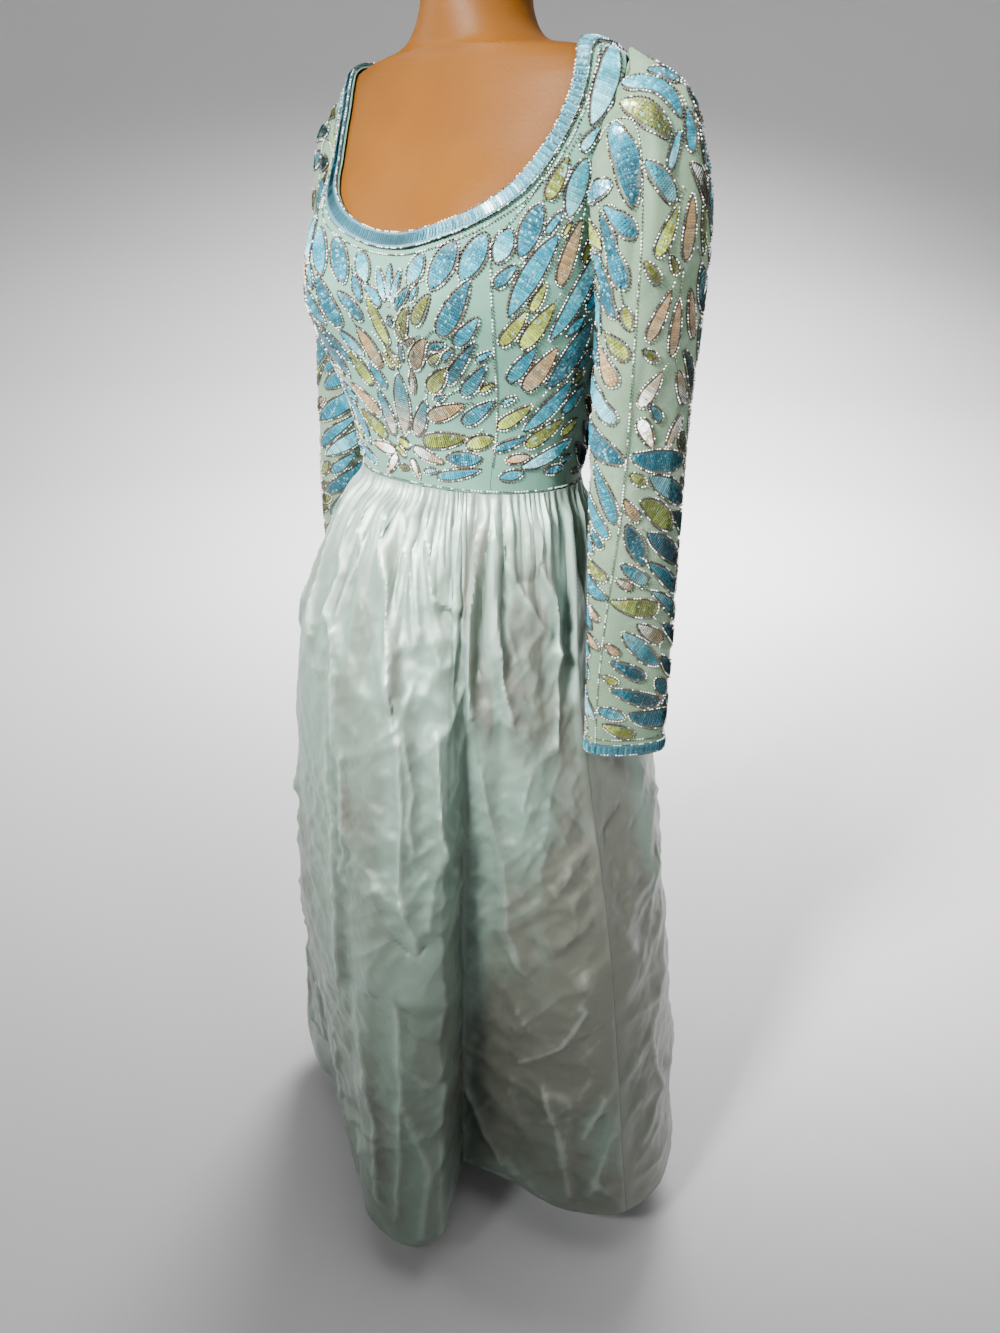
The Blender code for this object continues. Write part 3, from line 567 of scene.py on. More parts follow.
def glitterFinish(name, metallic, roughness, coat):
    f = Finish(name, metallic=metallic, specular=0.7, coat=coat, coatRoughness=0.12)
    colour = f.read("tint")
    # painted glints: small spots of every sequin and bead turned nearly white
    fleck = f.noise(0.0019, detail=1.0)
    f.set(colour=f.blend(f.clamp((fleck - 0.62) * 3.0), colour, (0.92, 0.96, 0.95)),
          roughness=roughness + (fleck - 0.5) * 0.2)
    return f.material


def trimFinish():
    f = Finish("aquaTrim", metallic=0.25, specular=0.6)
    fleck = f.noise(0.0022, detail=2.0)
    mask = f.clamp((fleck - 0.3) * 2.2)
    f.set(colour=f.blend(mask, (0.035, 0.095, 0.120), (0.070, 0.170, 0.200)),
          roughness=0.42 + (fleck - 0.5) * 0.2)
    f.bump(fleck, 0.0006, 0.7)
    return f.material


def formFinish():
    f = Finish("tanForm", specular=0.12)
    cloud = f.noise(0.07, detail=4.0)
    grain = f.noise(0.0035, detail=2.0)
    mask = f.clamp((cloud - 0.3) * 1.8)
    f.set(colour=f.blend(mask, (0.085, 0.029, 0.0020), (0.105, 0.037, 0.0028)),
          roughness=0.52 + (grain - 0.5) * 0.12)
    f.bump(grain + cloud * 2.0, 0.0004, 0.4)
    return f.material


def metalFinish():
    f = Finish("paintedStand", metallic=0.75, specular=0.5)
    grain = f.noise(0.004, detail=3.0)
    f.set(colour=f.blend(grain, (0.045, 0.045, 0.048), (0.085, 0.085, 0.09)),
          roughness=0.38 + (grain - 0.5) * 0.25)
    f.bump(grain, 0.0003, 0.4)
    return f.material


def plainFinish(name, colour, roughness):
    f = Finish(name, roughness=roughness, specular=0.2)
    cloud = f.noise(0.6, detail=2.0)
    f.set(colour=f.blend((cloud - 0.5) * 0.04 + 0.02, colour, tuple(0.9 * c for c in colour)))
    return f.material


taffeta = taffetaFinish()
bodiceChiffon = chiffonFinish("bodiceChiffon", (0.092, 0.215, 0.156), (0.066, 0.160, 0.118), 1.0)
sleeveChiffon = chiffonFinish("sleeveChiffon", (0.195, 0.288, 0.182), (0.130, 0.215, 0.135), 0.60)
sequinSkin = glitterFinish("sequins", 0.15, 0.34, 0.10)
beadSkin = glitterFinish("glassBeads", 0.35, 0.30, 0.3)
trim = trimFinish()
# painted shade: a dark sheet under the leaves, darkening the gaps between sequins and round each
# leaf
leafShadowSheet = plainFinish("darkThread", (0.060, 0.062, 0.050), 0.7)
tan = formFinish()
standMetal = metalFinish()
print("finishes made")

# ---- camera, lights and floor
view = {
    "place": (0.7296, -0.7882, 1.28),
    "right": (0.74999, 0.66107, 0.02234),
    "up": (-0.28791, 0.29585, 0.91081),
    "ahead": (-0.59550, 0.68953, -0.41221),
    "focal": 962.375,  # in pixels of an image 1333 high
    "height": 1333.0,
}
stage = {
    "grey": (0.72, 0.72, 0.72), "sky": 0.08, "floorSides": 96,
    "floor": table(
        ("radius", "height"),
        (0.4, 0.0), (1.0, 0.0), (2.0, 0.0), (3.2, 0.0), (4.2, 0.12), (5.0, 0.5), (5.6, 1.2),
        (6.0, 2.4), (6.2, 4.0), (6.3, 6.5),
    ),
    "lights": (  # name, place, where it points, width, power, and its spread in degrees
        ("keyLight", (0.14, -1.80, 2.22), (0.05, -0.10, 1.17), 0.5, 17, 38),
        ("sideLight", (-1.9, -1.1, 1.9), (0.0, 0.0, 1.2), 0.8, 3.5, 60),
        ("fillLight", (1.9, -0.5, 2.0), (0.32, 0.0, 1.25), 0.6, 2.2, 36),
        ("topLight", (0.3, 0.2, 4.4), (0.0, 0.0, 0.0), 3.4, 60, 180),
        ("backLight", (-1.4, 2.6, 3.0), (-1.9, 2.6, 0.0), 2.0, 260, 120),
    ),
}


def hang(name, data, axes, place):  # an object whose own x, y and z point along the axes
    turned = np.eye(4)
    turned[:3, :3], turned[:3, 3] = np.stack(axes, -1), place
    made = bpy.data.objects.new(name, data)
    made.matrix_world = Matrix(turned.tolist())
    bpy.context.scene.collection.objects.link(made)
    return made


def makeCamera():
    data = bpy.data.cameras.new("camera")
    data.sensor_fit, data.sensor_height, data.sensor_width = "VERTICAL", 36.0, 36.0
    data.lens = 36.0 * view["focal"] / view["height"]
    data.clip_start, data.clip_end = 0.02, 60
    axes = (view["right"], view["up"], -np.array(view["ahead"]))
    bpy.context.scene.camera = hang("camera", data, axes, view["place"])


def makeLight(name, place, towards, size, power, fan):
    data = bpy.data.lights.new(name, "AREA")
    data.spread = math.radians(fan)
    data.shape, data.size, data.energy = "DISK", size, power
    ahead = unit(np.array(towards, float) - np.array(place, float))
    across = unit(np.cross(ahead, (0, 0, 1.0)))
    hang(name, data, (across, np.cross(across, ahead), -ahead), place)


def makeStage():
    # floor: one sheet, flat out to a radius and then curving up as a backdrop all round
    radius, height = stage["floor"]["radius"], stage["floor"]["height"]
    count = stage["floorSides"]
    turn = np.linspace(0, 2 * math.pi, count + 1)[:-1]
    flat = radius[:, None, None] * np.stack([np.cos(turn), -np.sin(turn)], -1)
    level = np.broadcast_to(height[:, None, None], flat[..., :1].shape)
    points = np.concatenate([flat, level], -1)
    faces = gridFaces(*points.shape[:2], wrap=True)
    centre = len(radius) * count
    points = np.concatenate([points.reshape(-1, 3), [[0.0, 0.0, 0.0]]])
    faces = np.concatenate([faces[:, ::-1], fan(0, centre, count)])
    newObject("floor", points, faces, plainFinish("paleFloor", stage["grey"], 0.85))
    world = bpy.data.worlds.new("studio")
    world.use_nodes = True
    sky = world.node_tree.nodes["Background"]
    sky.inputs[0].default_value, sky.inputs[1].default_value = (1.0, 1.0, 1.0, 1), stage["sky"]
    bpy.context.scene.world = world
    for light in stage["lights"]:
        makeLight(*light)
    print("stage made")


makeCamera()
makeStage()

# ---- the skirt: gathered taffeta with long soft folds and crisp small creases
skirt = {
    "rows": 236, "top": waistHeight - 0.0006, "waistEase": 0.030,
    "crowding": 1.12,  # above 1, rows lie closer at the waist
    "gatherDepth": 0.0085,
    "halfGather": 0.0030,  # depth of the small gathers between
    "girth": 0.24,  # the radius that turns a crease's bearings into metres
    "calmAtSeams": 0.022, "calmAtHem": 0.006,  # creases are shallow nearer than this
    # bearings of a panel's seams, columns of its solid and of its cloth, cut, area of the cut
    "panels": {
        "skirt_back_right": (-180, -90, 44, 152, (0.55, 0.97), 0.42),
        "skirt_front": (-90, 90, 88, 304, (1.05, 0.97), 0.82),
        "skirt_back_left": (90, 180, 44, 152, (0.55, 0.97), 0.42),
    },
    # cells of the crumple: size along, size across, lean in degrees, depth, seed
    "crumple": (
        (0.150, 0.070, 28, 0.0070, 3), (0.120, 0.050, -36, 0.0052, 11),
        (0.070, 0.030, 52, 0.0030, 23), (0.060, 0.024, -20, 0.0022, 37),
        (0.036, 0.014, 34, 0.0011, 51), (0.030, 0.012, -44, 0.0009, 67),
    ),
    # the bearings where each crease is placed, and how far copies are turned from them
    "shown": (-50, 118), "turnedBy": (-128, 142),
    "longCrease": 0.09, "longSharpness": 1.5,  # long creases are deeper and sharper
    "shadeReach": 14, "edgeReach": 4,  # columns on each side that a tint is compared with
    "edgeDepth": 0.0045,
}
# creases: depth and width in mm (a trough where the depth is below 0), how much wider the
# side towards the wearer's left is, then the bearing and height of each point along it
creases = (
    (5, 5, 1.6, (-40, 1.022), (-38, 0.966), (-35, 0.890), (-31, 0.855)),
    (4, 4, 1, (-16, 1.002), (-8, 0.962), (-12, 0.930), (-14, 0.894)),
    (4, 4, 1, (-28, 0.994), (-19, 0.938), (-20, 0.926), (-21, 0.890), (-14, 0.875)),
    (4, 5, 1, (-14, 0.875), (-10, 0.791), (-8, 0.747)),
    (8, 5, 2.4, (-11, 1.026), (2, 0.994), (8, 0.946), (14, 0.882), (16, 0.843)),
    (4, 4, 1.5, (16, 0.843), (20, 0.811), (22, 0.779)),
    (3, 4, 1, (2, 1.034), (12, 0.990), (19, 0.946), (22, 0.886)),
    (4, 5, 1, (10, 1.034), (16, 1.002), (21, 0.950), (24, 0.898)),
    (3, 3, 1, (23, 0.843), (21, 0.819)),
    (5, 5, 0.6, (20, 1.018), (25, 0.978), (28, 0.934), (37, 0.922)),
    (4, 4, 1, (28, 1.018), (30, 0.978), (32, 0.962)),
    (5, 5, 0.5, (39, 1.038), (36, 0.994), (36, 0.934)),
    (-4, 3, 1, (32, 0.922), (38, 0.922)),
    (4, 4, 1, (28, 0.926), (32, 0.898)),
    (4, 4, 1, (29, 0.890), (32, 0.863), (36, 0.867)),
    (3, 3, 1, (28, 0.835), (35, 0.815)),
    (3, 3, 1, (-4, 0.783), (2, 0.775)),
    (2.5, 3, 1, (3, 0.827), (14, 0.803)),
    (2.5, 3, 1, (10, 0.771), (18, 0.799)),
    (2.5, 3, 1, (10, 0.863), (16, 0.843)),
    (2.5, 3, 1, (-30, 0.823), (-16, 0.827)),
    (2.5, 3, 1, (-31, 0.855), (-16, 0.851)),
    (7, 4, 1, (53, 1.038), (48, 1.006), (46, 0.970), (42, 0.914), (42, 0.855), (43, 0.807)),
    (4, 4, 1, (43, 0.807), (50, 0.791)),
    (-6, 5, 1, (52, 1.034), (48, 0.958), (46, 0.894), (46, 0.855)),
    (6, 5, 1.5, (54, 1.038), (52, 0.994), (52, 0.946), (53, 0.894), (56, 0.843), (60, 0.803)),
    (4, 5, 1, (60, 1.026), (56, 0.982), (62, 0.950), (72, 0.902), (76, 0.890)),
    (-3, 4, 1, (62, 0.950), (70, 0.950)),
    (3, 4, 1, (66, 1.034), (68, 0.966)),
    (6, 5, 1, (71, 1.026), (72, 0.970), (77, 0.934), (80, 0.898), (80, 0.867)),
    (4, 5, 1, (80, 0.867), (80, 0.823), (78, 0.759)),
    (-4, 5, 1, (84, 1.030), (90, 0.998), (98, 0.934), (101, 0.902)),
    (-5, 6, 1, (85, 0.898), (91, 0.867), (86, 0.823)),
    (2.5, 2.5, 1, (56, 0.938), (62, 0.922)),
    (2.5, 2.5, 1, (58, 0.902), (62, 0.867)),
    (2.5, 3, 1, (66, 0.855), (76, 0.831)),
    (2.5, 3, 1, (60, 0.831), (72, 0.799)),
    (2.5, 3, 1, (48, 0.855), (52, 0.839)),
    (3, 3, 1, (55, 0.803), (66, 0.779)),
    (3, 3, 1, (42, 1.022), (48, 1.006)),
    (5, 4, 1.8, (-12, 0.755), (-10, 0.695), (-6, 0.651), (-6, 0.599), (-5, 0.519), (-6, 0.431)),
    (-4, 3, 1, (-6, 0.435), (12, 0.451), (18, 0.459), (22, 0.455), (32, 0.431)),
    (4, 4, 1, (-4, 0.739), (-2, 0.671), (0, 0.623), (-2, 0.599)),
    (5, 4, 1.8, (20, 0.787), (22, 0.695), (22, 0.643), (22, 0.611), (24, 0.583)),
    (4, 4, 1, (24, 0.583), (27, 0.547), (28, 0.527)),
    (3, 3, 1, (22, 0.779), (25, 0.727), (24, 0.691), (26, 0.655)),
    (-6, 3, 1, (20, 0.543), (25, 0.527), (28, 0.523), (30, 0.531)),
    (3, 3, 1, (1, 0.479), (16, 0.531), (20, 0.543)),
    (4, 4, 1, (32, 0.787), (34, 0.675), (36, 0.643)),
    (3, 3, 1, (34, 0.643), (31, 0.583), (31, 0.559)),
    (4, 3, 1, (31, 0.559), (37, 0.547)),
    (3, 3, 1, (-3, 0.595), (6, 0.623)),
    (2.5, 3, 1, (3, 0.647), (18, 0.595)),
    (2.5, 2.5, 1, (6, 0.663), (13, 0.659)),
    (2.5, 2.5, 1, (14, 0.687), (19, 0.663)),
    (2.5, 3, 1, (4, 0.555), (14, 0.607)),
    (3, 3, 1, (-26, 0.543), (-14, 0.523), (-24, 0.491)),
    (3, 3, 1, (-16, 0.631), (-6, 0.603)),
    (2.5, 3, 1, (-15, 0.455), (-6, 0.471)),
    (3, 3, 1, (-20, 0.383), (-9, 0.419)),
    (2.5, 3, 1, (-4, 0.739), (11, 0.767), (19, 0.783)),
    (2.5, 3, 1, (4, 0.543), (15, 0.579), (22, 0.591)),
    (3, 4, 1, (-4, 0.387), (5, 0.367)),
    (3, 5, 1.6, (48, 0.731), (51, 0.683), (58, 0.611), (60, 0.515), (64, 0.479)),
    (3, 3, 1, (64, 0.771), (72, 0.747)),
    (3, 3, 1, (64, 0.687), (67, 0.727)),
    (3, 3, 1, (65, 0.683), (69, 0.687)),
    (-4, 4, 1, (76, 0.699), (88, 0.639)),
    (-4, 4, 1, (88, 0.639), (102, 0.651)),
    (3, 3, 1, (78, 0.595), (86, 0.623)),
    (3, 3, 1, (70, 0.591), (80, 0.559)),
    (3, 3, 1, (72, 0.555), (80, 0.555)),
    (-3, 3, 1, (68, 0.503), (72, 0.479), (76, 0.487)),
    (4, 4, 1, (71, 0.507), (76, 0.503), (85, 0.535), (88, 0.547)),
    (6, 4, 2, (81, 0.375), (96, 0.431)),
    (-4, 4, 1, (82, 0.375), (92, 0.395)),
    (3, 3, 1, (113, 0.583), (115, 0.547)),
    (4, 4, 1, (113, 0.407), (108, 0.375), (100, 0.383)),
    (3, 3, 1, (98, 0.483), (89, 0.479), (82, 0.459)),
    (3, 3, 1, (79, 0.407), (84, 0.451), (96, 0.455)),
    (3, 3, 1, (58, 0.515), (62, 0.479), (70, 0.443)),
    (2.5, 3, 1, (98, 0.643), (106, 0.635)),
    (2.5, 3, 1, (94, 0.563), (102, 0.567)),
    (3, 3, 1, (104, 0.515), (112, 0.527)),
    (4, 4, 1, (-16, 0.303), (-18, 0.175), (16, 0.179)),
    (4, 4, 1, (8, 0.383), (14, 0.263), (16, 0.139)),
    (4, 4, 1.5, (22, 0.451), (24, 0.327), (23, 0.131)),
    (-4, 4, 1, (11, 0.447), (24, 0.427), (36, 0.387)),
    (4, 4, 1, (24, 0.375), (32, 0.339), (38, 0.311)),
    (3, 3, 1, (18, 0.259), (28, 0.291), (32, 0.251)),
    (3, 3, 1, (-18, 0.147), (16, 0.243)),
    (4, 4, 1, (26, 0.299), (32, 0.207), (30, 0.103)),
    (3, 3, 1, (32, 0.259), (36, 0.271)),
    (3, 3, 1, (31, 0.187), (38, 0.171)),
    (4, 4, 1, (40, 0.247), (61, 0.115), (73, 0.103)),
    (3, 3, 1, (47, 0.095), (65, 0.111)),
    (5, 4, 1, (64, 0.367), (75, 0.431), (82, 0.451)),
    (5, 4, 1, (66, 0.315), (76, 0.359), (82, 0.415)),
    (5, 4, 2, (73, 0.271), (76, 0.203), (78, 0.115)),
    (5, 4, 1, (77, 0.203), (78, 0.271), (72, 0.227)),
    (5, 4, 1, (81, 0.215), (86, 0.275), (96, 0.311)),
    (4, 4, 1, (82, 0.123), (87, 0.207), (96, 0.247)),
    (4, 4, 1, (64, 0.275), (73, 0.263)),
    (4, 4, 1, (85, 0.139), (96, 0.127), (110, 0.127)),
    (4, 4, 1, (80, 0.339), (87, 0.375), (96, 0.383)),
    (4, 4, 1, (103, 0.331), (107, 0.231), (98, 0.183)),
    (3, 3, 1, (69, 0.119), (77, 0.171), (86, 0.123)),
)


def onSkirt(radius, bearing, *height):  # bearings turn from the front to the wearer's left
    return np.stack([radius * np.sin(bearing), -radius * np.cos(bearing), *height], -1)


def waistRadius(bearing):
    ring = torso(np.linspace(-math.pi, math.pi, 721), waistHeight)
    at = np.arctan2(ring[:, 0], -ring[:, 1])
    order = np.argsort(at)
    return np.interp(bearing, at[order], np.hypot(ring[:, 0], ring[:, 1])[order])


# foldRadius: smooth curves round the skirt through the folds' radii, eased into the waist.
def foldRadius(bearing, height):
    knots = np.radians(folds["bearing"])
    known = [folds[name] for name in ("hem", "middle", "hip", "belowWaist")]
    known = np.stack([*known, waistRadius(knots)])
    heights = np.array([*foldHeights, waistHeight])
    ring = [through(height, heights, known[:, k]) for k in range(len(knots))]
    turns = np.concatenate([knots - 2 * math.pi, knots, knots + 2 * math.pi])
    plain = through(bearing, turns, np.tile(ring, 3))
    top = ease((height - waistHeight + skirt["waistEase"]) / skirt["waistEase"])
    return plain + (waistRadius(bearing) - plain) * top


# gatherSwell: cosine gathers, each with its own depth, its own length and a small one beside.
def gatherSwell(column, height):
    gather = np.floor(column / 4 + 0.5)
    wave = (1 + np.cos(math.pi / 2 * (column + 0.6 * np.sin(0.53 * column + 1)))) / 2
    depth = skirt["gatherDepth"] * (0.66 + 0.34 * np.sin(2.3 * gather + 0.8 * np.sin(gather)))
    length = 0.085 + 0.035 * np.sin(1.7 * gather + 0.6) + 0.12 * (np.sin(2.7 * gather + 0.9) > 0.62)
    drop = waistHeight - height
    rise = 0.20 + 0.80 * ease(drop / 0.035)
    small = (1 + np.cos(2 * math.pi * (column / 1.74 + 0.6 * np.sin(column * 0.31)))) / 2
    small = skirt["halfGather"] * small * (0.5 + 0.5 * ease(drop / 0.012))
    small = small * np.exp(-((drop / 0.06) ** 2))
    return depth * wave**1.25 * rise * np.exp(-((drop / length) ** 2)) + small


def panelBearings(start, end, count):  # as the solids' columns, closer at sharp folds
    dense = np.radians(np.linspace(start, end, 1201))
    outline = onSkirt(foldRadius(dense, hemHeight), dense)
    steps = np.linalg.norm(np.diff(outline, axis=0), axis=1)
    run = runUp(0.45 * steps / steps.mean() + 0.55)
    return np.interp(np.linspace(0, run[-1], count + 1), run, dense)


# cells: the squared distance to the nearest of a jittered lattice of points, 0 to about 1,
# which gives smooth hollows between sharp ridges.
def cells(s, z, long, across, lean, seed):
    turned = math.radians(lean)
    x = (s * math.cos(turned) + z * math.sin(turned)) / long
    y = (z * math.cos(turned) - s * math.sin(turned)) / across
    x = x + 0.35 * np.sin(1.7 * y + seed) + 0.2 * np.sin(3.1 * y + 2.0 * x)
    y = y + 0.35 * np.sin(1.9 * x + 2 * seed)
    i, j = np.floor(x), np.floor(y)
    nearest = np.full(np.shape(x), 9.0)
    for di in (-1, 0, 1):
        for dj in (-1, 0, 1):
            px = i + di + 0.15 + 0.7 * scatter(i + di, j + dj, seed)
            py = j + dj + 0.15 + 0.7 * scatter(i + di, j + dj, seed + 0.5)
            nearest = np.minimum(nearest, (x - px) ** 2 + (y - py) ** 2)
    return np.minimum(nearest, 1.0)


# nearestOn: how far points x, z are from a line of points, and on which side of it they are.
def nearestOn(line, x, z):
    nearest, signed = np.full(x.shape, 9.0), np.zeros(x.shape)
    for start, end in zip(line[:-1], line[1:]):
        along = end - start
        share = (x - start[0]) * along[0] + (z - start[1]) * along[1]
        share = np.clip(share / np.hypot(*along) ** 2, 0, 1)
        dx, dz = x - start[0] - share * along[0], z - start[1] - share * along[1]
        gap = np.hypot(dx, dz)
        side = np.sign(along[0] * dz - along[1] * dx) * np.sign(-along[1] - 0.3 * along[0])
        signed = np.where(gap < nearest, -side, signed)
        nearest = np.minimum(nearest, gap)
    return nearest, signed


# creaseLines: each falls from its line as e to the distance, over a low broad swell. Where
# the gown's back is hidden, the front's creases are taken again, turned to both sides.
def creaseLines(bearing, height):
    girth, half = skirt["girth"], math.pi * skirt["girth"]
    shown = skirt["shown"]
    hidden = [
        (depth, width, skew, *((at + shift, level * 0.9 + 0.07) for at, level in places))
        for depth, width, skew, *places in creases for shift in skirt["turnedBy"]
        if not shown[0] < places[0][0] + shift < shown[1]
    ]
    out = np.zeros(np.broadcast(bearing, height).shape)
    for depth, width, skew, *places in (*creases, *hidden):
        line = np.array(places, float)
        line[:, 0] = np.radians(line[:, 0]) * girth
        middle = np.radians(np.mean([place[0] for place in places])) * girth
        x = (bearing * girth - middle + half) % (2 * half) + middle - half
        nearest, signed = nearestOn(line, *np.broadcast_arrays(x, height))
        sharp = skirt["longSharpness"] if np.ptp(line[:, 1]) > skirt["longCrease"] else 1.0
        reach = width * 0.002 / sharp * np.where(signed > 0, skew, 1.0)
        fall = 0.75 * np.exp(-nearest / reach) + 0.25 * np.exp(-((nearest / (2.5 * reach)) ** 2))
        out = out + depth * 0.001 * sharp * fall
    return out


def crumple(bearing, run, height):
    drop = waistHeight - height
    below = ease((drop - 0.03) / 0.16) * (0.75 + 0.25 * ease((0.78 - height) / 0.12))
    out = np.zeros(np.broadcast(run, height).shape)
    for long, across, lean, depth, seed in skirt["crumple"]:
        patch = np.sin(7.0 * run + 9.0 * height + 2.1 * seed)
        patch = patch * np.sin(11.0 * height - 5.0 * run + seed)
        hollow = cells(run, height, long, across, lean, seed) - 0.35
        out = out + hollow * depth * (1.05 + 0.65 * patch)
    return out * below + creaseLines(bearing, height) * ease((drop - 0.004) / 0.05)


# patches of painted shade on the skirt, the shot cloth's second colour where its folds turn from
# the
# light, low down and in the deep fold: bearing and height of the middle, half its width and height,
# and its amount
paintedShadePatches = (
    (-1, 0.90, 6, 0.08, 0.4), (4, 0.745, 10, 0.08, 0.35), (7, 0.60, 8, 0.08, 0.3),
    (46, 0.90, 4, 0.13, 0.9), (67, 0.86, 8, 0.13, 0.65), (92, 0.62, 18, 0.24, 0.75),
    (70, 0.44, 15, 0.18, 0.6), (62, 0.24, 22, 0.14, 0.6), (104, 0.34, 18, 0.26, 0.65),
    (19, 0.20, 6, 0.10, 0.2), (30, 0.36, 5, 0.10, 0.2), (14, 0.86, 3, 0.05, 0.3),
    (-34, 0.52, 12, 0.12, 0.4), (-60, 0.70, 14, 0.14, 0.5), (-86, 0.36, 18, 0.20, 0.6),
    (-118, 0.62, 12, 0.16, 0.5), (-146, 0.30, 16, 0.18, 0.6), (-170, 0.66, 10, 0.16, 0.5),
    (132, 0.60, 14, 0.16, 0.6), (158, 0.34, 16, 0.16, 0.6), (118, 0.24, 16, 0.16, 0.6),
)


# patches: each a product of two falls from 1 to 0, steep across and soft up and down.
def patches(bearing, height):
    out = np.zeros(height.shape)
    for at, level, wide, high, amount in paintedShadePatches:
        x = np.abs(np.degrees(bearing) - at - 2.5 * np.sin(23 * height + at)) / wide
        z = np.abs(height - level - 0.02 * np.sin(8 * bearing + at)) / high
        out = out + amount * ease((1.25 - x) / 0.5) * ease((1.4 - z) / 0.8)
    return out


# the skirt's painted light and shade: the shade value mixes in the shot cloth's second colour,
# which shows only at some angles, as painted shade in patches between the folds, towards the hem,
# in troughs and on creases that turn to the wearer's left, away from the light; the edge value is a
# painted highlight on ridges and painted shade in troughs and in the deep fold at the front.
def clothPaintedShade(bearing, level, normals, radius, out):
    beside = np.stack([np.cos(bearing), np.sin(bearing), 0 * bearing], -1)
    lean = (normals * beside).sum(-1)
    # painted shade: more taupe towards the hem, where less light reaches the skirt
    shade = 0.10 + 0.28 * ease((0.72 - level) / 0.45) + patches(bearing[None], level)
    # painted shade on creases turned to the wearer's left, away from the light, and in troughs
    shade = shade + 0.7 * (lean - rowMean(lean, skirt["shadeReach"])) - out * 12
    # painted highlight on ridges and painted shade in troughs, from how far each point stands out
    raised = radius + out
    valley = (np.degrees(bearing) - 38 - 14 * (0.93 - level)) / 5  # the deep fold at the front
    edge = 0.5 + (raised - rowMean(raised, skirt["edgeReach"])) / skirt["edgeDepth"]
    # painted shadow in the deep fold at the front
    edge = edge - 0.30 * np.exp(-(valley**2)) * ease((0.97 - level) / 0.1)
    return {"shade": np.clip(shade, 0, 1), "edge": np.clip(edge, 0, 1)}


def makeSkirt():  # gives the lines beside the side seams back, for their stitches
    around = np.linspace(-math.pi, math.pi, 1441)
    runs = pathRun(onSkirt(foldRadius(around, 0.45), around))
    seams = np.radians([-180, -90, 90, 180])
    drop = np.linspace(0, 1, skirt["rows"] + 1) ** skirt["crowding"]
    height = skirt["top"] - (skirt["top"] - hemHeight) * drop
    first = 0
    for name, (start, end, solidColumns, columns, cut, area) in skirt["panels"].items():
        share = np.linspace(0, 1, columns + 1) * solidColumns
        coarse = panelBearings(start, end, solidColumns)
        bearing = np.interp(share, np.arange(solidColumns + 1), coarse)
        column = first + share
        first += solidColumns
        radius = np.stack([foldRadius(bearing, h) + gatherSwell(column, h) for h in height])
        level = np.broadcast_to(height[:, None], radius.shape)
        points = onSkirt(radius, bearing, level)
        outward = points * np.array([1, 1, 0])
        normals = gridNormals(points)
        normals = normals * np.sign((normals * outward).sum(-1, keepdims=True).mean())
        toSeam = np.abs(bearing[:, None] - seams).min(1) * skirt["girth"]
        out = crumple(bearing[None], np.interp(bearing, around, runs)[None], height[:, None])
        out = out * (0.15 + 0.85 * ease(toSeam / skirt["calmAtSeams"]))
        out = out * (0.6 + 0.4 * ease((height - hemHeight) / skirt["calmAtHem"])[:, None])
        points = points + normals * out[..., None]
        for edge, inside in ((0, 1), (-1, -2)):
            points[:, edge] += unit(points[:, inside] - points[:, edge]) * seamInset
        normals = gridNormals(points)
        normals = normals * np.sign((normals * outward).sum(-1).mean())
        paintedShading = clothPaintedShade(bearing, level, normals, radius, out)
        piece = leanShell(name + "_cloth", points, normals, taffeta, paintedShading)
        settle(piece, "silver_mint_taffeta", name)
        if name == "skirt_front":
            rim = points + normals * clothWall / 2
            beside = [(rim[6:, k], normals[6:, k]) for k in (1, -2)]
    print("skirt made")
    return beside


besideSeams = makeSkirt()

# ---- the bodice: five panels of chiffon
bodicePanels = {
    "rows": 60, "centreColumns": 26, "centreCut": (0.24, 0.40), "centreArea": 0.0638,
    "crowding": 2.2,  # above 1, rows lie closer at the shoulder
    "pullDepth": 0.0002, "pullEnds": 0.06,  # share of a panel's width where the pulls die out
}


def centreLine(v):
    return 0.0 * v


def princessLine(v):
    return through(v, princess["row"], princess["share"])


def sideLine(v):
    return 0.0 * v + 1.0


def bodiceRowPlaces():
    half, crowding = bodicePanels["rows"] // 2, bodicePanels["crowding"]
    high = neckStarts + (1 - neckStarts) * (1 - np.linspace(1, 0, half + 1) ** crowding)[1:]
    return np.concatenate([np.linspace(0, neckStarts, half + 1), high])


# bodiceGrid: a strip of a half panel between two lines, with soft pulls from its seams.
def bodiceGrid(face, side, start, end, columns):
    v = bodiceRowPlaces()[:, None]
    whole = torso(*halfPanel(np.linspace(0, 1, 30)[None, :], v, face))
    width = np.linalg.norm(np.diff(whole, axis=1), axis=-1).sum(axis=1)[:, None]
    inset = seamInset / width
    folded = face < 0 and start is centreLine
    first = start(v) + (0 if folded else inset)
    u = first + (end(v) - inset - first) * np.linspace(0, 1, columns + 1)[None, :]
    turn, height = halfPanel(u, v, face)
    points, normals = surface(bodice, wholeTurn(turn, side), height)
    points[-1, :, 1] += face * seamInset
    ends = bodicePanels["pullEnds"]
    edge = np.minimum(ease((u - first) / ends) if not folded else 1.0, ease((end(v) - u) / ends))
    pull = bodicePanels["pullDepth"] * np.sin(260 * height + 12 * turn) * edge
    pull = pull * ease((waistHeight + 0.36 - height) / 0.05)
    return points + normals * pull[..., None], normals


def bodicePiece(node, points, normals, faces):
    piece = shell(node + "_cloth", points, normals, faces, bodiceChiffon)
    settle(piece, "mint_chiffon", node)


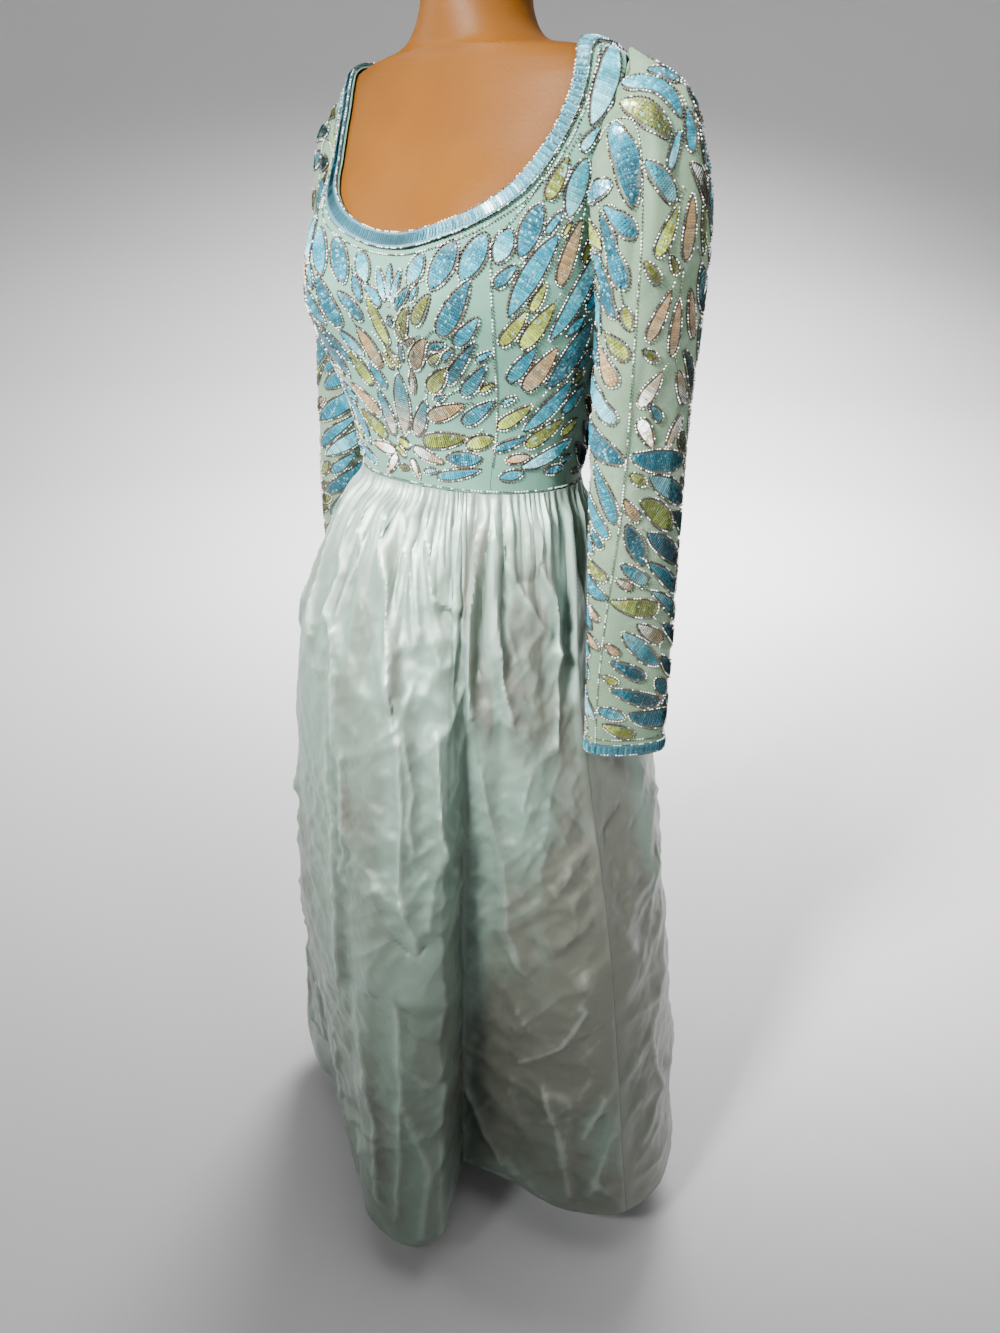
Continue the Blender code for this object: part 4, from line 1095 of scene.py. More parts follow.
def makeBodice():
    columns = bodicePanels["centreColumns"]
    halves = [bodiceGrid(-1, side, centreLine, princessLine, columns) for side in (1, -1)]
    rows, columns = halves[0][0].shape[:2]
    size = rows * columns
    points, normals = joined([[part.reshape(-1, 3) for part in half] for half in halves])
    faces = gridFaces(rows, columns)
    index = np.arange(2 * size)  # both halves share the points of the centre line
    centre = np.flatnonzero(bodiceRowPlaces() <= neckStarts + 1e-9) * columns
    index[centre + size] = centre
    faces = index[np.concatenate([faces, faces[:, ::-1] + size])]
    bodicePiece("bodice_centre_front", points, normals, faces)
    for name, side in sides.items():
        for part, face, start, columns, cut in (
            ("side_front", -1, princessLine, 30, (0.17, 0.40)),
            ("back", 1, centreLine, 34, (0.24, 0.40)),
        ):
            points, normals = bodiceGrid(face, side, start, sideLine, columns)
            faces = gridFaces(*points.shape[:2])
            node = f"bodice_{part}_{name}"
            bodicePiece(node, points, normals, faces)
    print("bodice made")


makeBodice()

# ---- the sleeves: sheer chiffon, eased into the armhole with pleats, in soft long folds
sleeveCloth = {
    "sides": 112, "rows": 120, "crowding": 1.1, "cut": (0.42, 0.68), "area": 0.20,
    "pleats": 8, "pleatDepth": 0.0024,
    # shares of the sleeve's length, for its pleats and for its flat end under the cuff band
    "pleatStart": 0.02, "pleatLength": 0.14, "flatFrom": 0.97, "flatEase": 0.06,
}
# soft folds: place round the arm in degrees (90 is the front), share of both ends, depth, width
sleeveFolds = (
    (62, 0.06, 0.36, -0.0050, 10), (38, 0.05, 0.30, 0.0030, 9), (14, 0.04, 0.34, -0.0028, 8),
    (-12, 0.05, 0.28, 0.0030, 8), (-38, 0.05, 0.36, -0.0030, 9), (84, 0.10, 0.60, 0.0030, 10),
    (108, 0.12, 0.44, -0.0035, 9), (-62, 0.10, 0.50, 0.0028, 10), (30, 0.30, 0.75, -0.0016, 7),
    (-20, 0.34, 0.80, 0.0016, 8), (140, 0.16, 0.50, -0.0028, 10), (-130, 0.16, 0.55, 0.0025, 10),
)


def sleeveSwell(around, share):
    c = np.cos(around)
    pleats = np.cos(2 * sleeveCloth["pleats"] * around) * np.sqrt(np.clip(c, 0, 1))
    start = sleeveCloth["pleatStart"]
    out = pleats * sleeveCloth["pleatDepth"] * ease(share / start)
    out = out * (1 - ease((share - start) / sleeveCloth["pleatLength"]))
    degrees = np.degrees(around)
    for at, high, low, depth, width in sleeveFolds:
        gap = (degrees - at - 10 * np.sin(5 * share + at) + 180) % 360 - 180
        part = np.clip((share - high) / (low - high), 0, 1)
        fall = depth * np.exp(-((gap / width) ** 2))
        out = out + fall * ease(part / 0.25) * ease((1 - part) / 0.6)
    return out


# swollenSleeve: the sleeve's form pushed out and in by its pleats and folds.
def swollenSleeve(name):
    def at(around, share):
        points, normals = surface(sleeves[name], around, share)
        flat = ease((sleeveCloth["flatFrom"] - share) / sleeveCloth["flatEase"])
        out = sleeveSwell(around, share) * flat
        return points + normals * out[..., None]
    return {"at": at, "out": sides[name]}


def makeSleeve(name):
    side = sides[name]
    around = 2 * math.pi * np.arange(sleeveCloth["sides"]) / sleeveCloth["sides"]
    share = np.linspace(0, 1, sleeveCloth["rows"] + 1) ** sleeveCloth["crowding"]
    points = swollenSleeve(name)["at"](around[None, :], share[:, None])
    piece = shell(f"sleeve_{name}_cloth", points, gridNormals(points, True) * -side,
                  gridFaces(*points.shape[:2], wrap=True), sleeveChiffon)
    settle(piece, "mint_chiffon", f"sleeve_{name}")


for name in sides:
    makeSleeve(name)
print("sleeves made")

# ---- beadwork: leaves of overlapping sequins, each with a line of beads round it
beadwork = {
    "sequinSize": 0.0034, "sequinPitch": 0.0023, "sequinTilt": 22.0, "sequinLift": 0.0013,
    "bugle": (0.0028, 0.00100), "bugleStep": 0.0031, "beadLift": 0.0014,
    "outlineGap": 0.0018, "clear": 0.0016, "tailClear": 0.0028, "placedMargin": -0.0012,
    "threadBeyond": 0.0010,  # how far the dark sheet of painted shade goes past a leaf's outline
    "leastRadius": 0.0006, "widestLeaf": 0.022, "almondsFrom": 0.066, "largeFrom": 0.06,
    "drops": 0.62,  # share of the smaller leaves that are drops
    "bend": 5.0, "wave": 9.0, "lean": 0.20,  # how much these differ from leaf to leaf
    "sequinInset": 0.0007, "sequinBeside": 1.16,  # the pitch across a row, in pitches along
    "tiltSpread": 16, "liftSpread": 0.0004, "wobble": 0.12,
    "tailShort": 0.008, "tailSpread": 0.014, "tailBend": 0.35,
    "noTail": 0.45, "glints": 0.93,  # shares of the leaves without a tail, and of plain sequins
    "silver": 0.40, "silverInTails": 0.35, "silverInLines": 0.45,  # shares of silver beads
}
bands = {
    "sequinPitch": 0.0029, "sequinLift": 0.0005, "sequinWide": 3.3, "glints": 0.96,
    "tilt": 20, "tiltSpread": 14, "neckCut": (1.15, bandWidth), "cuffCut": (0.20, cuffBandHeight),
    # lines of beads: outside the neck's edge, below its band, and above the waist
    "edgeBeads": 0.0004, "belowBeads": 0.0052, "waistBeads": 0.0022, "waistLift": 0.0006,
}
tints = {
    "deepBlue": (0.012, 0.084, 0.118), "sky": (0.014, 0.172, 0.245), "aqua": (0.024, 0.240, 0.310),
    "ice": (0.200, 0.520, 0.580), "lime": (0.190, 0.225, 0.035), "lemon": (0.420, 0.500, 0.090),
    "olive": (0.100, 0.118, 0.020), "blush": (0.400, 0.255, 0.115), "shell": (0.330, 0.250, 0.140),
    "pearl": (0.860, 0.870, 0.820), "silver": (0.850, 0.850, 0.800), "dark": (0.018, 0.014, 0.010),
    "bronze": (0.110, 0.075, 0.042), "cream": (0.560, 0.470, 0.350),
}
mixes = {  # a leaf's first colour, second colour and how often each kind is taken
    "blue": ("sky", "aqua", 0.30), "deep": ("deepBlue", "sky", 0.14), "pale": ("aqua", "ice", 0.10),
    "lime": ("lime", "lemon", 0.22), "moss": ("olive", "lime", 0.12),
    "rose": ("blush", "shell", 0.08), "sand": ("shell", "pearl", 0.04),
    "tip": ("aqua", "cream", 0.0),
}


# shapes: half width along a leaf, from its round or pointed base (t 0) to its tip (t 1)
def leafWidth(kind, t):
    t = np.clip(t, 0.0, 1.0)
    drop = t**0.42 * (1 - t) ** 0.80 / 0.552
    almond = (4 * t * (1 - t)) ** 0.72
    return np.where(kind == 0, drop, almond)


nodesAlong = 13  # places kept along a leaf's middle line
mixNumber = {name: number for number, name in enumerate(mixes)}


# leafTable: the leaves' places, lengths and widths, with their mix of colours, their kind of
# outline (0 for drops, 1 for almonds) and whether the colours run from tip to base.
def leafTable(places, length, width, mix, kind=0, flip=0):
    leaves = {"places": places, "length": length, "width": width}
    for key, value in (("mix", mix), ("kind", kind), ("flip", flip)):
        leaves[key] = value + np.zeros(len(length))
    return leaves


def inMeasures(alongA, alongB, direction):  # a direction on a form, in the form's measures
    aa, bb, ab = (alongA**2).sum(-1), (alongB**2).sum(-1), (alongA * alongB).sum(-1)
    da, db = (alongA * direction).sum(-1), (alongB * direction).sum(-1)
    return np.stack([bb * da - ab * db, aa * db - ab * da], -1) / (aa * bb - ab**2)[:, None]


# march: walks each leaf's middle line over a form, both ways from its centre, turning as
# it goes, and keeps what one metre across the line is worth in the form's own measures.
def march(form, a, b, lean, outward, length, bend, wave):
    half = nodesAlong // 2
    step = length / 2 / half
    _, alongB, normal = slopes(form, a, b)
    up = unit(alongB) * form.get("up", 1)
    across = unit(np.cross(up, normal)) * outward[:, None]
    heading = across * np.cos(lean)[:, None] + up * np.sin(lean)[:, None]
    places = np.zeros((len(a), nodesAlong, 4))
    for way in (1, -1):
        here = np.stack([a, b], -1)
        ahead = heading * way
        for k in range(half + 1):
            alongA, alongB, normal = slopes(form, here[:, 0], here[:, 1])
            ahead = unit(ahead - normal * (ahead * normal).sum(-1, keepdims=True))
            beside = np.cross(normal, ahead)
            places[:, half + way * k, :2] = here
            places[:, half + way * k, 2:] = inMeasures(alongA, alongB, beside * way)
            here = here + inMeasures(alongA, alongB, ahead) * step[:, None]
            turned = way * (bend + wave * way * (k / half)) * step
            ahead = ahead * np.cos(turned)[:, None] + beside * np.sin(turned)[:, None]
    return places


def lineFence(form, a, b):  # points along a line that no leaf may cross
    points = form["at"](a, b)
    run = pathRun(points)
    return pathAt(np.linspace(0, run[-1], max(int(run[-1] / 0.004), 2)), run, points)


class Fitted:  # leaves that keep clear of a fence and of each other, seen as rows of discs
    def __init__(self, form, fence):
        self.form, self.kept = form, []
        self.discs, self.radii = fence, np.zeros(len(fence))

    def keep(self, leaves, margin):  # gives the numbers of the leaves that don't fit back
        points = self.form["at"](leaves["places"][..., 0], leaves["places"][..., 1])
        t = np.linspace(0, 1, nodesAlong)[None]
        radius = leafWidth(leaves["kind"][:, None], t) * leaves["width"][:, None] / 2
        radius = np.maximum(radius, beadwork["leastRadius"])
        chosen = []
        for n in range(len(points)):
            reach = leaves["length"][n] / 2 + 0.03
            middle = points[n, nodesAlong // 2]
            near = np.flatnonzero(((self.discs - middle) ** 2).sum(1) < reach**2)
            gap = np.linalg.norm(points[n, :, None] - self.discs[None, near], axis=-1)
            if (gap > radius[n, :, None] + self.radii[None, near] + margin).all():
                chosen.append(n)
                self.discs = np.concatenate([self.discs, points[n]])
                self.radii = np.concatenate([self.radii, radius[n] + beadwork["clear"]])
        self.kept.append({key: values[np.array(chosen, int)] for key, values in leaves.items()})
        return np.setdiff1d(np.arange(len(points)), chosen)

    def isFree(self, points, reach):
        gaps = [((self.discs - point) ** 2).sum(1).min() for point in points]
        return np.array(gaps) > reach**2


# packLeaves: the placed leaves first, at smaller and smaller sizes until they fit, and then
# seeded places in passes from large to small, as far as they fit.
def packLeaves(form, fence, passes, pick, seed, placed, often=None):
    random = np.random.default_rng(seed)
    fitted = Fitted(form, fence)
    clear = beadwork["clear"]
    left = np.arange(len(placed[0]["length"]))
    for leaves in placed:
        leaves = {key: values[left] for key, values in leaves.items()}
        left = left[fitted.keep(leaves, beadwork["placedMargin"])]
    for tries, shortest, longest, slim, plump in passes:
        found = pick(random, tries)
        free = fitted.isFree(form["at"](found["a"], found["b"]), shortest * slim / 2 + clear)
        found = {key: values[free] for key, values in found.items()}
        size = len(found["a"])
        length = random.uniform(shortest, longest, size)
        width = np.minimum(length * random.uniform(slim, plump, size), beadwork["widestLeaf"])
        almonds = (random.random(size) > beadwork["drops"]).astype(float)
        kind = np.where(length > beadwork["almondsFrom"], 1.0, almonds)
        bend, wave = (random.normal(0, beadwork[key], size) for key in ("bend", "wave"))
        lean = found["lean"] + random.normal(0, beadwork["lean"], size)
        places = march(form, found["a"], found["b"], lean, found["outward"], length, bend, wave)
        mix = random.choice(len(mixes), size, p=often or [share for *_, share in mixes.values()])
        mix = np.where((length > beadwork["largeFrom"]) & (mix > 2), mix % 3, mix)
        leaves = leafTable(places, length, width, mix, kind, random.random(size))
        fitted.keep(leaves, clear)
    return joined(fitted.kept)


# onLeaf: places s along and x across leaves i, as the form's own measures.
def onLeaf(leaves, i, s, x):
    step = leaves["length"][i] / (nodesAlong - 1)
    at = s / step + (nodesAlong - 1) / 2
    k = np.clip(np.floor(at).astype(int), 0, nodesAlong - 2)
    w = (at - k)[:, None]
    place = leaves["places"][i, k] * (1 - w) + leaves["places"][i, k + 1] * w
    return place[:, 0] + place[:, 2] * x, place[:, 1] + place[:, 3] * x


def onForm(form, leaves, i, s, x):
    return surface(form, *onLeaf(leaves, i, s, x))


def mixColour(first, second, share):
    return np.asarray(first) * (1 - share[:, None]) + np.asarray(second) * share[:, None]


def tintOf(colour):
    return {"tint": np.concatenate([colour, np.ones((len(colour), 1))], 1)}


def sequinPoints(centre, normal, along, tilt, wide):  # hexagons that lean like scales
    across = np.cross(normal, along) * wide
    c, s = np.cos(tilt)[:, None], np.sin(tilt)[:, None]
    slanted = along * c + normal * s
    corner = np.arange(6) * math.pi / 3
    c, s = np.cos(corner)[None, :, None], np.sin(corner)[None, :, None]
    points = slanted[:, None] * c + across[:, None] * s
    points = centre[:, None] + beadwork["sequinSize"] / 2 * points
    return points.reshape(-1, 3), np.arange(len(centre) * 6).reshape(-1, 6)


def beadPoints(centre, normal, along, long, thick):  # eight-faced spindles
    tip, side, top = along * long / 2, np.cross(normal, along) * thick, normal * thick
    points = centre[:, None] + np.stack([tip, side, top, -side, -top, -tip], 1)
    pairs = ((1, 2), (2, 3), (3, 4), (4, 1))
    faces = np.array([(0, a, b) for a, b in pairs] + [(5, b, a) for a, b in pairs])
    faces = np.arange(len(centre))[:, None, None] * 6 + faces
    return points.reshape(-1, 3), faces.reshape(-1, 3)


def evenly(points, normals, step, closed=False):  # centres, normals and directions along a path
    if closed:
        points, normals = (np.concatenate([part, part[:1]]) for part in (points, normals))
    run = pathRun(points)
    count = max(int(run[-1] / step), 2)
    at = (np.arange(count) + 0.5) * run[-1] / count
    centre, normal = pathAt(at, run, points), unit(pathAt(at, run, normals))
    along = unit(pathAt(at + 0.0008, run, points) - pathAt(at - 0.0008, run, points))
    return centre, unit(normal - along * (normal * along).sum(-1, keepdims=True)), along


def beadTints(count, seed, bright):  # runs of silver beads broken by dark and bronze ones
    n = np.arange(count)
    pick = scatter(np.floor(n / 1.4), seed * 1.0, 5.0)[:, None]
    colour = np.where(pick < 0.5 + bright / 2, tints["bronze"], tints["dark"])
    colour = np.where(pick < bright, tints["silver"], colour)
    return colour * (0.75 + 0.4 * scatter(n, seed * 1.0, 9.0)[:, None])


def beadRun(points, normals, lift, seed, closed=True, bright=beadwork["silver"]):
    centre, normal, along = evenly(points, normals, beadwork["bugleStep"], closed)
    return centre + normal * lift, normal, along, beadTints(len(centre), seed, bright)


def sequinRows(n, length, width, kind):  # places of one leaf's sequins, in rows across it
    pitch = beadwork["sequinPitch"]
    count = max(int(length / pitch), 3)
    t = (np.arange(count) + 0.5) / count
    half = leafWidth(kind, t) * width / 2 - beadwork["sequinInset"]
    across = np.floor(2 * half / (pitch * beadwork["sequinBeside"]))
    across = np.maximum(across, 0).astype(int) + 1
    t, half, across = t[half > 0], half[half > 0], across[half > 0]
    index = np.repeat(np.arange(len(t)), across)
    order = np.arange(len(index)) - np.repeat(np.cumsum(across) - across, across)
    share = (order + 0.5) / across[index] * 2 - 1
    return np.full(len(index), n), (t[index] - 0.5) * length, share * half[index], t[index]


# sequinsOnLeaves: each leaf's sequins run from its first colour to its second, from row to row
# a little lighter or darker at random as painted shade between the overlapping rows, with a few
# painted glints.
def sequinsOnLeaves(form, leaves, lift):
    sizes = zip(leaves["length"], leaves["width"], leaves["kind"])
    i, s, x, t = joined([sequinRows(n, *size) for n, size in enumerate(sizes)])
    points, normal = onForm(form, leaves, i, s, x)
    along = unit(form["at"](*onLeaf(leaves, i, s + 0.001, x)) - points)
    number = np.arange(len(i))
    shake = scatter(number, i * 1.0, 2.0)
    tilt = np.radians(beadwork["sequinTilt"] + beadwork["tiltSpread"] * (shake - 0.5))
    mix = leaves["mix"][i].astype(int)
    first, second = (np.array([tints[mixed[k]] for mixed in mixes.values()])[mix] for k in (0, 1))
    share = np.where(leaves["flip"][i] > 0.5, t, 1 - t) * 2.0 - 0.7
    share = np.clip(share + 0.5 * (scatter(number, 3.0, 4.0) - 0.5), 0, 1)
    colour = mixColour(first, second, share)
    # painted shade: whole rows made lighter or darker, for the shade between overlapping rows
    rows = np.round(s / beadwork["sequinPitch"])
    colour = colour * (0.66 + 0.62 * scatter(rows, i * 1.0, 6.0))[:, None]
    colour = colour * (0.85 + 0.3 * shake)[:, None]
    # painted glints: a few sequins mixed towards ice
    glint = (scatter(number, i * 1.0, 8.0) > beadwork["glints"])[:, None]
    colour = np.where(glint, 0.45 * colour + 0.55 * np.array(tints["ice"]), colour)
    wobble = np.stack([scatter(number, 1.0, 11.0 + k) for k in range(3)], -1) - 0.5
    centre = points + normal * (lift + beadwork["liftSpread"] * shake)[:, None]
    return centre, unit(normal + beadwork["wobble"] * wobble), along, tilt, colour


# outlineBeads: a closed line of beads round each leaf, and a curved tail from most tips.
def outlineBeads(form, leaves, fence, lift, seed):
    parts = []
    gap = beadwork["outlineGap"]
    turn = np.linspace(0, 2 * math.pi, 49)[:-1]
    t = (1 - np.cos(turn)) / 2
    swell = gap * np.sqrt(np.abs(np.sin(turn)))
    for n in range(len(leaves["length"])):
        length, width = leaves["length"][n], leaves["width"][n]
        half = leafWidth(leaves["kind"][n], t) * width / 2 + swell
        s, x = (t - 0.5) * (length + 2 * gap), half * np.sign(np.sin(turn))
        outline = onForm(form, leaves, np.full(len(s), n), s, x)
        parts.append(beadRun(*outline, lift, seed + n))
        if scatter(n, seed, 1.0) <= beadwork["noTail"]:
            continue
        tail = beadwork["tailShort"] + beadwork["tailSpread"] * scatter(n, seed, 2.0)
        s = length / 2 + gap + np.linspace(0.001, tail, 12)
        bend = (scatter(n, seed, 3.0) - 0.5) * 2 * beadwork["tailBend"]
        x = bend * (s - s[0]) ** 2 / tail
        points, normal = onForm(form, leaves, np.full(len(s), n), s, x)
        if ((fence[None] - points[:, None]) ** 2).sum(-1).min() > beadwork["tailClear"] ** 2:
            parts.append(
                beadRun(points, normal, lift, seed + n, False, beadwork["silverInTails"]))
    return joined(parts)


# a dark sheet below each leaf, out past its outline, as one strip of faces a leaf: painted shade in
# the gaps between the sequins and a painted shadow line round the leaf.
def leafShadowSheets(name, form, leaves, lift):
    steps, count = 15, len(leaves["length"])
    length, width, kind = (leaves[key][:, None] for key in ("length", "width", "kind"))
    t = np.broadcast_to(np.linspace(0, 1, steps), (count, steps))
    gap = beadwork["outlineGap"] + beadwork["threadBeyond"]
    half = leafWidth(kind, t) * width / 2 + gap * np.sqrt(np.sin(math.pi * t))
    x = half[..., None] * np.array([1.0, 0.0, -1.0])
    s = np.broadcast_to(((t - 0.5) * (length + 2 * gap))[..., None], x.shape)
    i = np.repeat(np.arange(count), 3 * steps)
    points, normal = onForm(form, leaves, i, s.ravel(), x.ravel())
    faces = np.arange(count)[:, None, None] * 3 * steps + gridFaces(steps, 3)
    made = newObject(name, points + normal * lift, faces.reshape(-1, 4), leafShadowSheet)
    settle(made, "aqua_beading")


def sequinPiece(name, centre, normal, along, tilt, colour, wide=1.0):
    points, faces = sequinPoints(centre, normal, along, tilt, wide)
    edge = 1 + 0.45 * np.cos(np.arange(6) * math.pi / 3)  # painted light on each sequin's raised front edge and painted shade behind
    colour = np.clip(colour[:, None] * edge[None, :, None], 0, 0.95).reshape(-1, 3)
    made = newObject(name, points, faces, sequinSkin, tintOf(colour), sharp=80)
    settle(made, "aqua_beading")
    print(name, len(centre), "sequins")


def beadPiece(name, centre, normal, along, colour, size=beadwork["bugle"], sharp=80):
    points, faces = beadPoints(centre, normal, along, *size)
    attributes = tintOf(np.repeat(colour, 6, axis=0))
    settle(newObject(name, points, faces, beadSkin, attributes, sharp=sharp), "aqua_beading")
    print(name, len(centre), "beads")


def coverLeaves(name, form, leaves, fence, seed, lift):  # gives the beads of the outlines back
    # painted shade under the leaf, as a dark sheet
    leafShadowSheets(f"{name}_leaf_shadows", form, leaves, lift)
    sequins = sequinsOnLeaves(form, leaves, clothTop + beadwork["sequinLift"])
    sequinPiece(f"{name}_sequins", *sequins)
    return outlineBeads(form, leaves, fence, clothTop + beadwork["beadLift"], seed)


stitches = {"pitch": 0.0042, "long": 0.0028, "thick": 0.00042, "lift": 0.0002}


def makeStitches():  # a row of thread stitches beside each side seam of the skirt
    centre, normal, along = joined([evenly(*line, stitches["pitch"]) for line in besideSeams])
    centre = centre + normal * stitches["lift"]
    points, faces = beadPoints(centre, normal, along, stitches["long"], stitches["thick"])
    settle(newObject("skirt_seam_stitches", points, faces, taffeta), "silver_mint_taffeta")


makeStitches()

# ---- the bodice's leaves fan up and out from the centre of the waist
flowRows = table(
    ("height", "degrees"),
    (1.040, 12), (1.090, 24), (1.140, 36), (1.200, 46), (1.260, 58), (1.320, 74), (1.380, 88),
    (1.440, 90),
)


def pickOnBodice(face):
    def pick(random, tries):
        u, v = random.uniform(0.0, 1.0, tries), random.uniform(0.02, 0.99, tries)
        side = np.where(random.random(tries) < 0.5, 1, -1)
        turn, height = halfPanel(u, v, face)
        lean = np.radians(through(height, flowRows["height"], flowRows["degrees"]))
        turn = np.where(side > 0, turn, math.pi - turn)
        return {"a": turn, "b": height, "lean": lean, "outward": -side * np.sign(face)}
    return pick


def bodiceFence():  # the neck band, the seams and the waist
    w = np.linspace(0, 1, 160)
    v = np.linspace(0.02, 0.98, 160)
    clear = (0.0, 0.005, 0.010, bandWidth + 0.001, bandWidth + 0.005)
    half = []
    for face in (-1, 1):
        half += [*(neckline(w, face, outside) for outside in clear), armhole(w, face)]
    half += [halfPanel(princessLine(v), v, -1), (0 * w, shoulderSeamLow + shoulderSeamRise * w),
             (0 * w, waistHeight + (armpitHeight - waistHeight) * w)]
    lines = [(wholeTurn(turn, side), height) for side in (1, -1) for turn, height in half]
    lines.append((0 * w + math.pi / 2, waistHeight + (neckBackHeight - waistHeight) * w))
    ring = np.linspace(0, 2 * math.pi, 400)
    lines += [(ring, 0 * ring + waistHeight + above) for above in (0.002, 0.007, 0.012)]
    return np.concatenate([lineFence(bodice, *line) for line in lines])


# leaves placed one by one on the front: across from the centre, up from the waist, lean in
# degrees, length, width, bend, mix
placedLeaves = (
    (0.000, 0.196, 90, 0.028, 0.012, 0, "pale"), (0.013, 0.194, 66, 0.028, 0.012, 0, "pale"),
    (0.024, 0.184, 36, 0.026, 0.012, 0, "blue"), (0.000, 0.082, 90, 0.062, 0.019, 0, "tip"),
    (0.021, 0.162, 60, 0.044, 0.016, 0, "lime"), (0.036, 0.136, 56, 0.042, 0.018, 0, "rose"),
    (0.050, 0.166, 78, 0.050, 0.018, 0, "moss"), (0.010, 0.136, 84, 0.030, 0.010, 0, "blue"),
    (0.019, 0.108, 82, 0.038, 0.012, 0, "sand"), (0.052, 0.112, 50, 0.038, 0.017, 0, "lime"),
    (0.024, 0.072, 70, 0.044, 0.016, 0, "tip"), (0.054, 0.084, 34, 0.042, 0.017, 0, "rose"),
    (0.050, 0.054, 22, 0.048, 0.018, 3, "moss"), (0.032, 0.033, -4, 0.036, 0.012, 4, "sand"),
    (0.017, 0.017, -58, 0.028, 0.012, 0, "sand"), (0.080, 0.060, 54, 0.070, 0.014, 6, "blue"),
    (0.078, 0.132, 52, 0.066, 0.016, -4, "deep"), (0.079, 0.176, 60, 0.052, 0.020, 0, "deep"),
    (0.076, 0.098, 66, 0.044, 0.020, 0, "lime"), (0.068, 0.020, 20, 0.056, 0.012, 5, "blue"),
    (0.118, 0.166, 60, 0.046, 0.021, 0, "rose"), (0.126, 0.138, 52, 0.076, 0.013, 4, "blue"),
    (0.156, 0.162, 58, 0.048, 0.019, 0, "lime"), (0.124, 0.106, 50, 0.066, 0.014, 4, "blue"),
    (0.154, 0.124, 52, 0.044, 0.021, 0, "rose"), (0.122, 0.078, 40, 0.044, 0.017, 0, "lime"),
    (0.118, 0.052, 32, 0.056, 0.014, 5, "deep"), (0.158, 0.090, 44, 0.062, 0.015, 4, "blue"),
    (0.152, 0.062, 34, 0.042, 0.017, 0, "moss"), (0.112, 0.027, 20, 0.052, 0.012, 4, "blue"),
    (0.158, 0.036, 24, 0.056, 0.014, 4, "pale"), (0.112, 0.202, 64, 0.060, 0.022, 0, "deep"),
    (0.146, 0.206, 60, 0.074, 0.018, -3, "blue"), (0.172, 0.192, 64, 0.044, 0.018, 0, "lime"),
)


def alongRing(across, height):  # the turn of a place at a distance round the front's middle
    turn = np.linspace(-math.pi / 2, 0.3, 200)
    return np.interp(across, pathRun(bodice["at"](turn, height)), turn)


def frontLeavesPlaced(scale):  # each leaf beside the centre has its like on the other side
    rows = [(1, *row) for row in placedLeaves] + [(-1, *row) for row in placedLeaves if row[0] > 0]
    *sizes, names = zip(*rows)
    side, across, up, lean, length, width, bend = np.array(sizes, float)
    shake = [scatter(np.arange(len(rows)), side, seed) - 0.5 for seed in (1.0, 2.0, 3.0)]
    away = np.where(across > 0.04, 1.0, 0.0)
    height = waistHeight + up + 0.006 * shake[0] * away
    turn = np.array([alongRing(*place) for place in zip(across, height)])
    turn = np.where(side > 0, turn, -math.pi - turn)
    lean = np.radians(lean + 12 * shake[1] * away)
    length, width = length * (1 + 0.14 * shake[2]) * scale, width * scale
    places = march(bodice, turn, height, lean, side, length, bend, 0 * bend)
    mix = np.array([mixNumber[name] for name in names])
    return leafTable(places, length, width, mix, np.where(length > 0.055, 1.0, 0.0))


petals = {
    "below": 0.019, "lower": 0.007,  # how far below the band at the centre, and more at the sides
    "first": 0.012, "last": 0.02, "pitch": 0.0275, "wide": 0.58, "widest": 0.018,
    "mixes": ("blue", "pale", "deep"),
}


# petals that stand under the neckline, upright and leaning a little outwards
def neckPetals(face, scale):
    w = np.linspace(0.0, 0.97, 300)
    below = bandWidth + petals["below"] + petals["lower"] * ease((w - 0.1) / 0.4)
    turn, height = neckline(w, face, below)
    run = pathRun(bodice["at"](turn, height))
    at = np.arange(petals["first"], run[-1] - petals["last"], petals["pitch"])
    turn, height = np.interp(at, run, turn), np.interp(at, run, height)
    number = np.arange(len(at))
    result = []
    for side in (1, -1):
        shake = scatter(number, 2.0 + face, 3.0 + side)
        lean = np.radians(58 + 26 * ease(at / 0.16) + 8 * (shake - 0.5))
        length = (0.028 + 0.018 * ease(at / 0.10)) * (0.92 + 0.16 * shake) * scale
        turned, outward = wholeTurn(turn, side), 0.0 * at - side * face
        places = march(bodice, turned, height, lean, outward, length, 0 * at, 0 * at)
        mix = np.array([mixNumber[name] for name in petals["mixes"]])[number % 3]
        width = np.minimum(petals["wide"] * length, petals["widest"])
        result.append(leafTable(places, length, width, mix, 1))
    return result


bodicePasses = (  # tries, shortest and longest, and the least and greatest width for the length
    (1500, 0.085, 0.110, 0.15, 0.20), (3500, 0.056, 0.078, 0.24, 0.34),
    (5000, 0.042, 0.054, 0.36, 0.48), (5000, 0.030, 0.040, 0.38, 0.52),
    (5000, 0.020, 0.028, 0.36, 0.55), (5000, 0.012, 0.017, 0.38, 0.60),
)
scales = (1.0, 0.88, 0.76, 0.64)


def packBodice(face, seed):
    placed = []
    for scale in scales:
        byHand = [frontLeavesPlaced(scale)] if face < 0 else []
        placed.append(joined([*byHand, *neckPetals(face, scale)]))
    return packLeaves(bodice, fence, bodicePasses, pickOnBodice(face), seed, placed)


fence = bodiceFence()
frontLeaves, backLeaves = packBodice(-1, 41), packBodice(1, 43)
print("bodice leaves:", len(frontLeaves["length"]), len(backLeaves["length"]))
for name, leaves, seed in (("bodice_front", frontLeaves, 100), ("bodice_back", backLeaves, 900)):
    beadPiece(f"{name}_beads", *coverLeaves(name, bodice, leaves, fence, seed, clothTop + 0.0004))


